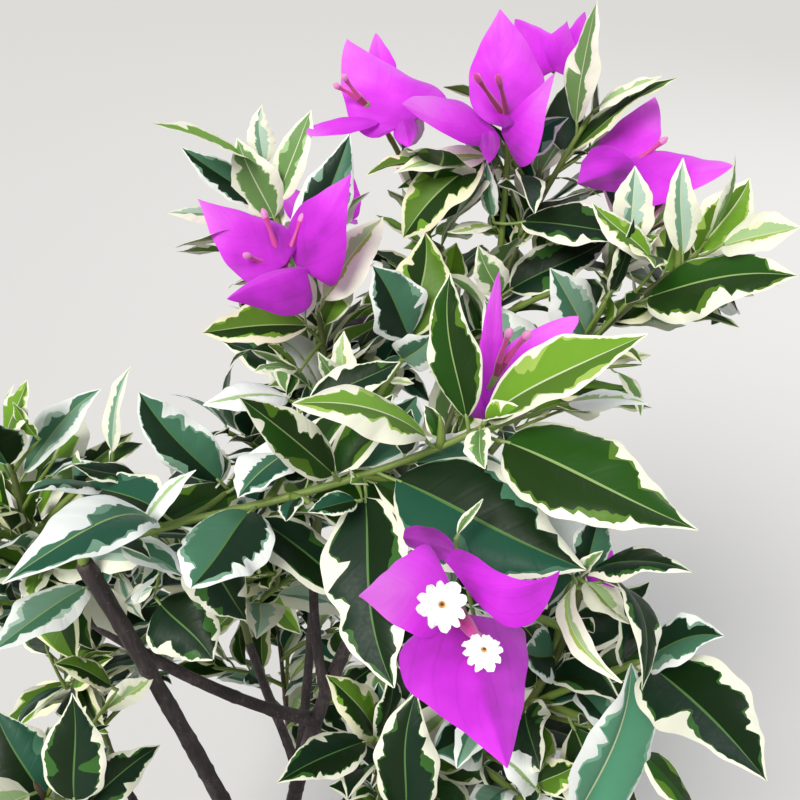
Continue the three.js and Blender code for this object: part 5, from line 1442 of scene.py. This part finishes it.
def grow_star(growth, mouth, looks, draw, size):
    """A star: radius R (0.72 + 0.28 |cos 5b|^0.7), b the angle unevenly spread, frilled and dished."""
    first, second = roundabout(looks)
    rings, turns = 16, 120
    angle = np.linspace(0, TURN, turns, endpoint=False)[None] + draw.uniform(0, 1)
    ring = np.linspace(0.01, 1, rings)[:, None]
    uneven = angle + 0.12 * np.sin(2 * angle + draw.uniform(0, 6))
    uneven = uneven + 0.06 * np.sin(STAR_LOBES * angle + draw.uniform(0, 6))
    lobes = 0.72 + 0.28 * np.abs(np.cos(STAR_LOBES * uneven)) ** 0.7
    lobes = lobes + 0.05 * np.sin(3 * angle + draw.uniform(0, 6))
    lobes += 0.012 * np.sin(31 * angle)
    radius = size * STAR_RADIUS * (1 + (lobes - 1) * ring**1.5) * ring
    frill = 0.45 * ring**2 * np.cos(2 * STAR_LOBES * uneven) + 0.3 * ring**3 * np.sin(21 * angle + 2)
    height = 0.9 * ring**2 + frill - 1.5 * hump(ring, 0, 0.15)
    points = (mouth + looks * height[..., None] + first * (radius * np.cos(angle))[..., None]
              + second * (radius * np.sin(angle))[..., None])
    uvs = np.stack(np.broadcast_arrays(angle / 6.3, ring), -1)
    place = np.arange(rings - 1)
    # The innermost ring is painted shade inside the open tube; the next is the orange throat.
    slots = np.where(place < 1, HOLE_SHADE, np.where(place < 2, THROAT, STAR))
    growth.add(points, uvs, [(quads(rings, turns, closed=True), np.repeat(slots, turns))])


def grow_unseen(bracts, flowers, throat, axis, draw):
    """A bloom that the picture doesn't show: three bracts and tubes round its axis, each shorter."""
    given = bract(None, BRACT_LENGTH)
    for index in range(3):
        open_to = unit(spoke(axis, 20 + 145 * index) + axis * 0.55)
        tip = throat + open_to * (BRACT_LENGTH - 3 * index)
        grow_bract(bracts, throat, tip, axis, given, draw)
        lean = unit(axis + unit(tip - throat) * 0.35)
        star = lean if index < 1 else None
        grow_tube(flowers, throat, throat + lean * (TUBE_LENGTH - 3 * index), star, draw)


def grow_shown(bracts, flowers, throat, axis, given_bracts, given_tubes, draw):
    """A bloom of the picture: its bracts and its tube flowers by their tips."""
    for given in given_bracts:
        root = seen(*given["foot"])
        tip = sighted(root, given["tip"], given["long"], given["far"])
        facing = faced(*given["face"]) if given["face"] else axis
        grow_bract(bracts, root, tip, facing, given, draw)
    for given in given_tubes:
        star = faced(*given["star"]) if given["star"] else None
        tip = sighted(throat, given["tip"], given["long"])
        grow_tube(flowers, throat, tip, star, draw, given["size"], given["deep"])


for number, (name, place) in enumerate(SEATS.items()):
    draw = np.random.default_rng(900 + number)
    throat, axis = place["throat"], place["axis"]
    bracts, flowers = Growth(), Growth()
    stalk = Limb(throat - axis * STALK_LENGTH, throat + axis * 1.5)
    tube(flowers, stalk, 4, 8, lambda share, angle: 0.9 + 0.6 * share, STALK)
    if name in BRACTS:
        grow_shown(bracts, flowers, throat, axis, *BRACTS[name], draw)
    else:
        grow_unseen(bracts, flowers, throat, axis, draw)
    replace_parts(bracts.piece("bracts_" + name, [MAGENTA], "bract"), "bloom_" + name)
    flowers.piece("flowers_" + name, FLOWER_MATERIALS, "bract")


# The setting: a plain pale floor under soft light from an overcast sky, with one broad sun high
# up at the front left and a weak lamp behind. None of it belongs to the bush.
FLOOR_REACH = 15
FLOOR_DROP = 0.0005
CROWN_MIDDLE = Vector((0.03, 0.0, 0.4))

corners = [(right * FLOOR_REACH, onward * FLOOR_REACH, -FLOOR_DROP)
           for right, onward in ((-1, -1), (1, -1), (1, 1), (-1, 1))]
floor_mesh = bpy.data.meshes.new("floor")
floor_mesh.from_pydata(corners, [], [(0, 1, 2, 3)])
floor_mesh.materials.append(material("floor", rgb(208, 206, 203), 0.9)[0])
floor = bpy.data.objects.new("floor", floor_mesh)
bpy.context.collection.objects.link(floor)

world = bpy.data.worlds.new("sky")
bpy.context.scene.world = world
world.use_nodes = True
sky = world.node_tree.nodes["Background"]
sky.inputs["Color"].default_value = (0.93, 0.96, 1.0, 1)
sky.inputs["Strength"].default_value = 0.5


def lamp(name, kind, place, power, colour):
    """A lamp at a place, aimed at the middle of the crown."""
    made = bpy.data.objects.new(name, bpy.data.lights.new(name, kind))
    bpy.context.collection.objects.link(made)
    made.location = place
    made.rotation_euler = (CROWN_MIDDLE - made.location).to_track_quat("-Z", "Y").to_euler()
    made.data.energy = power
    made.data.color = colour
    return made.data


lamp("sun", "SUN", (-0.85, -1.2, 2.0), 2.9, (1.0, 0.98, 0.95)).angle = math.radians(30)
lamp("rim", "AREA", (1.2, 1.4, 1.6), 10, (0.9, 0.95, 1.0)).size = 1.0
bpy.context.scene.view_settings.view_transform = "Standard"
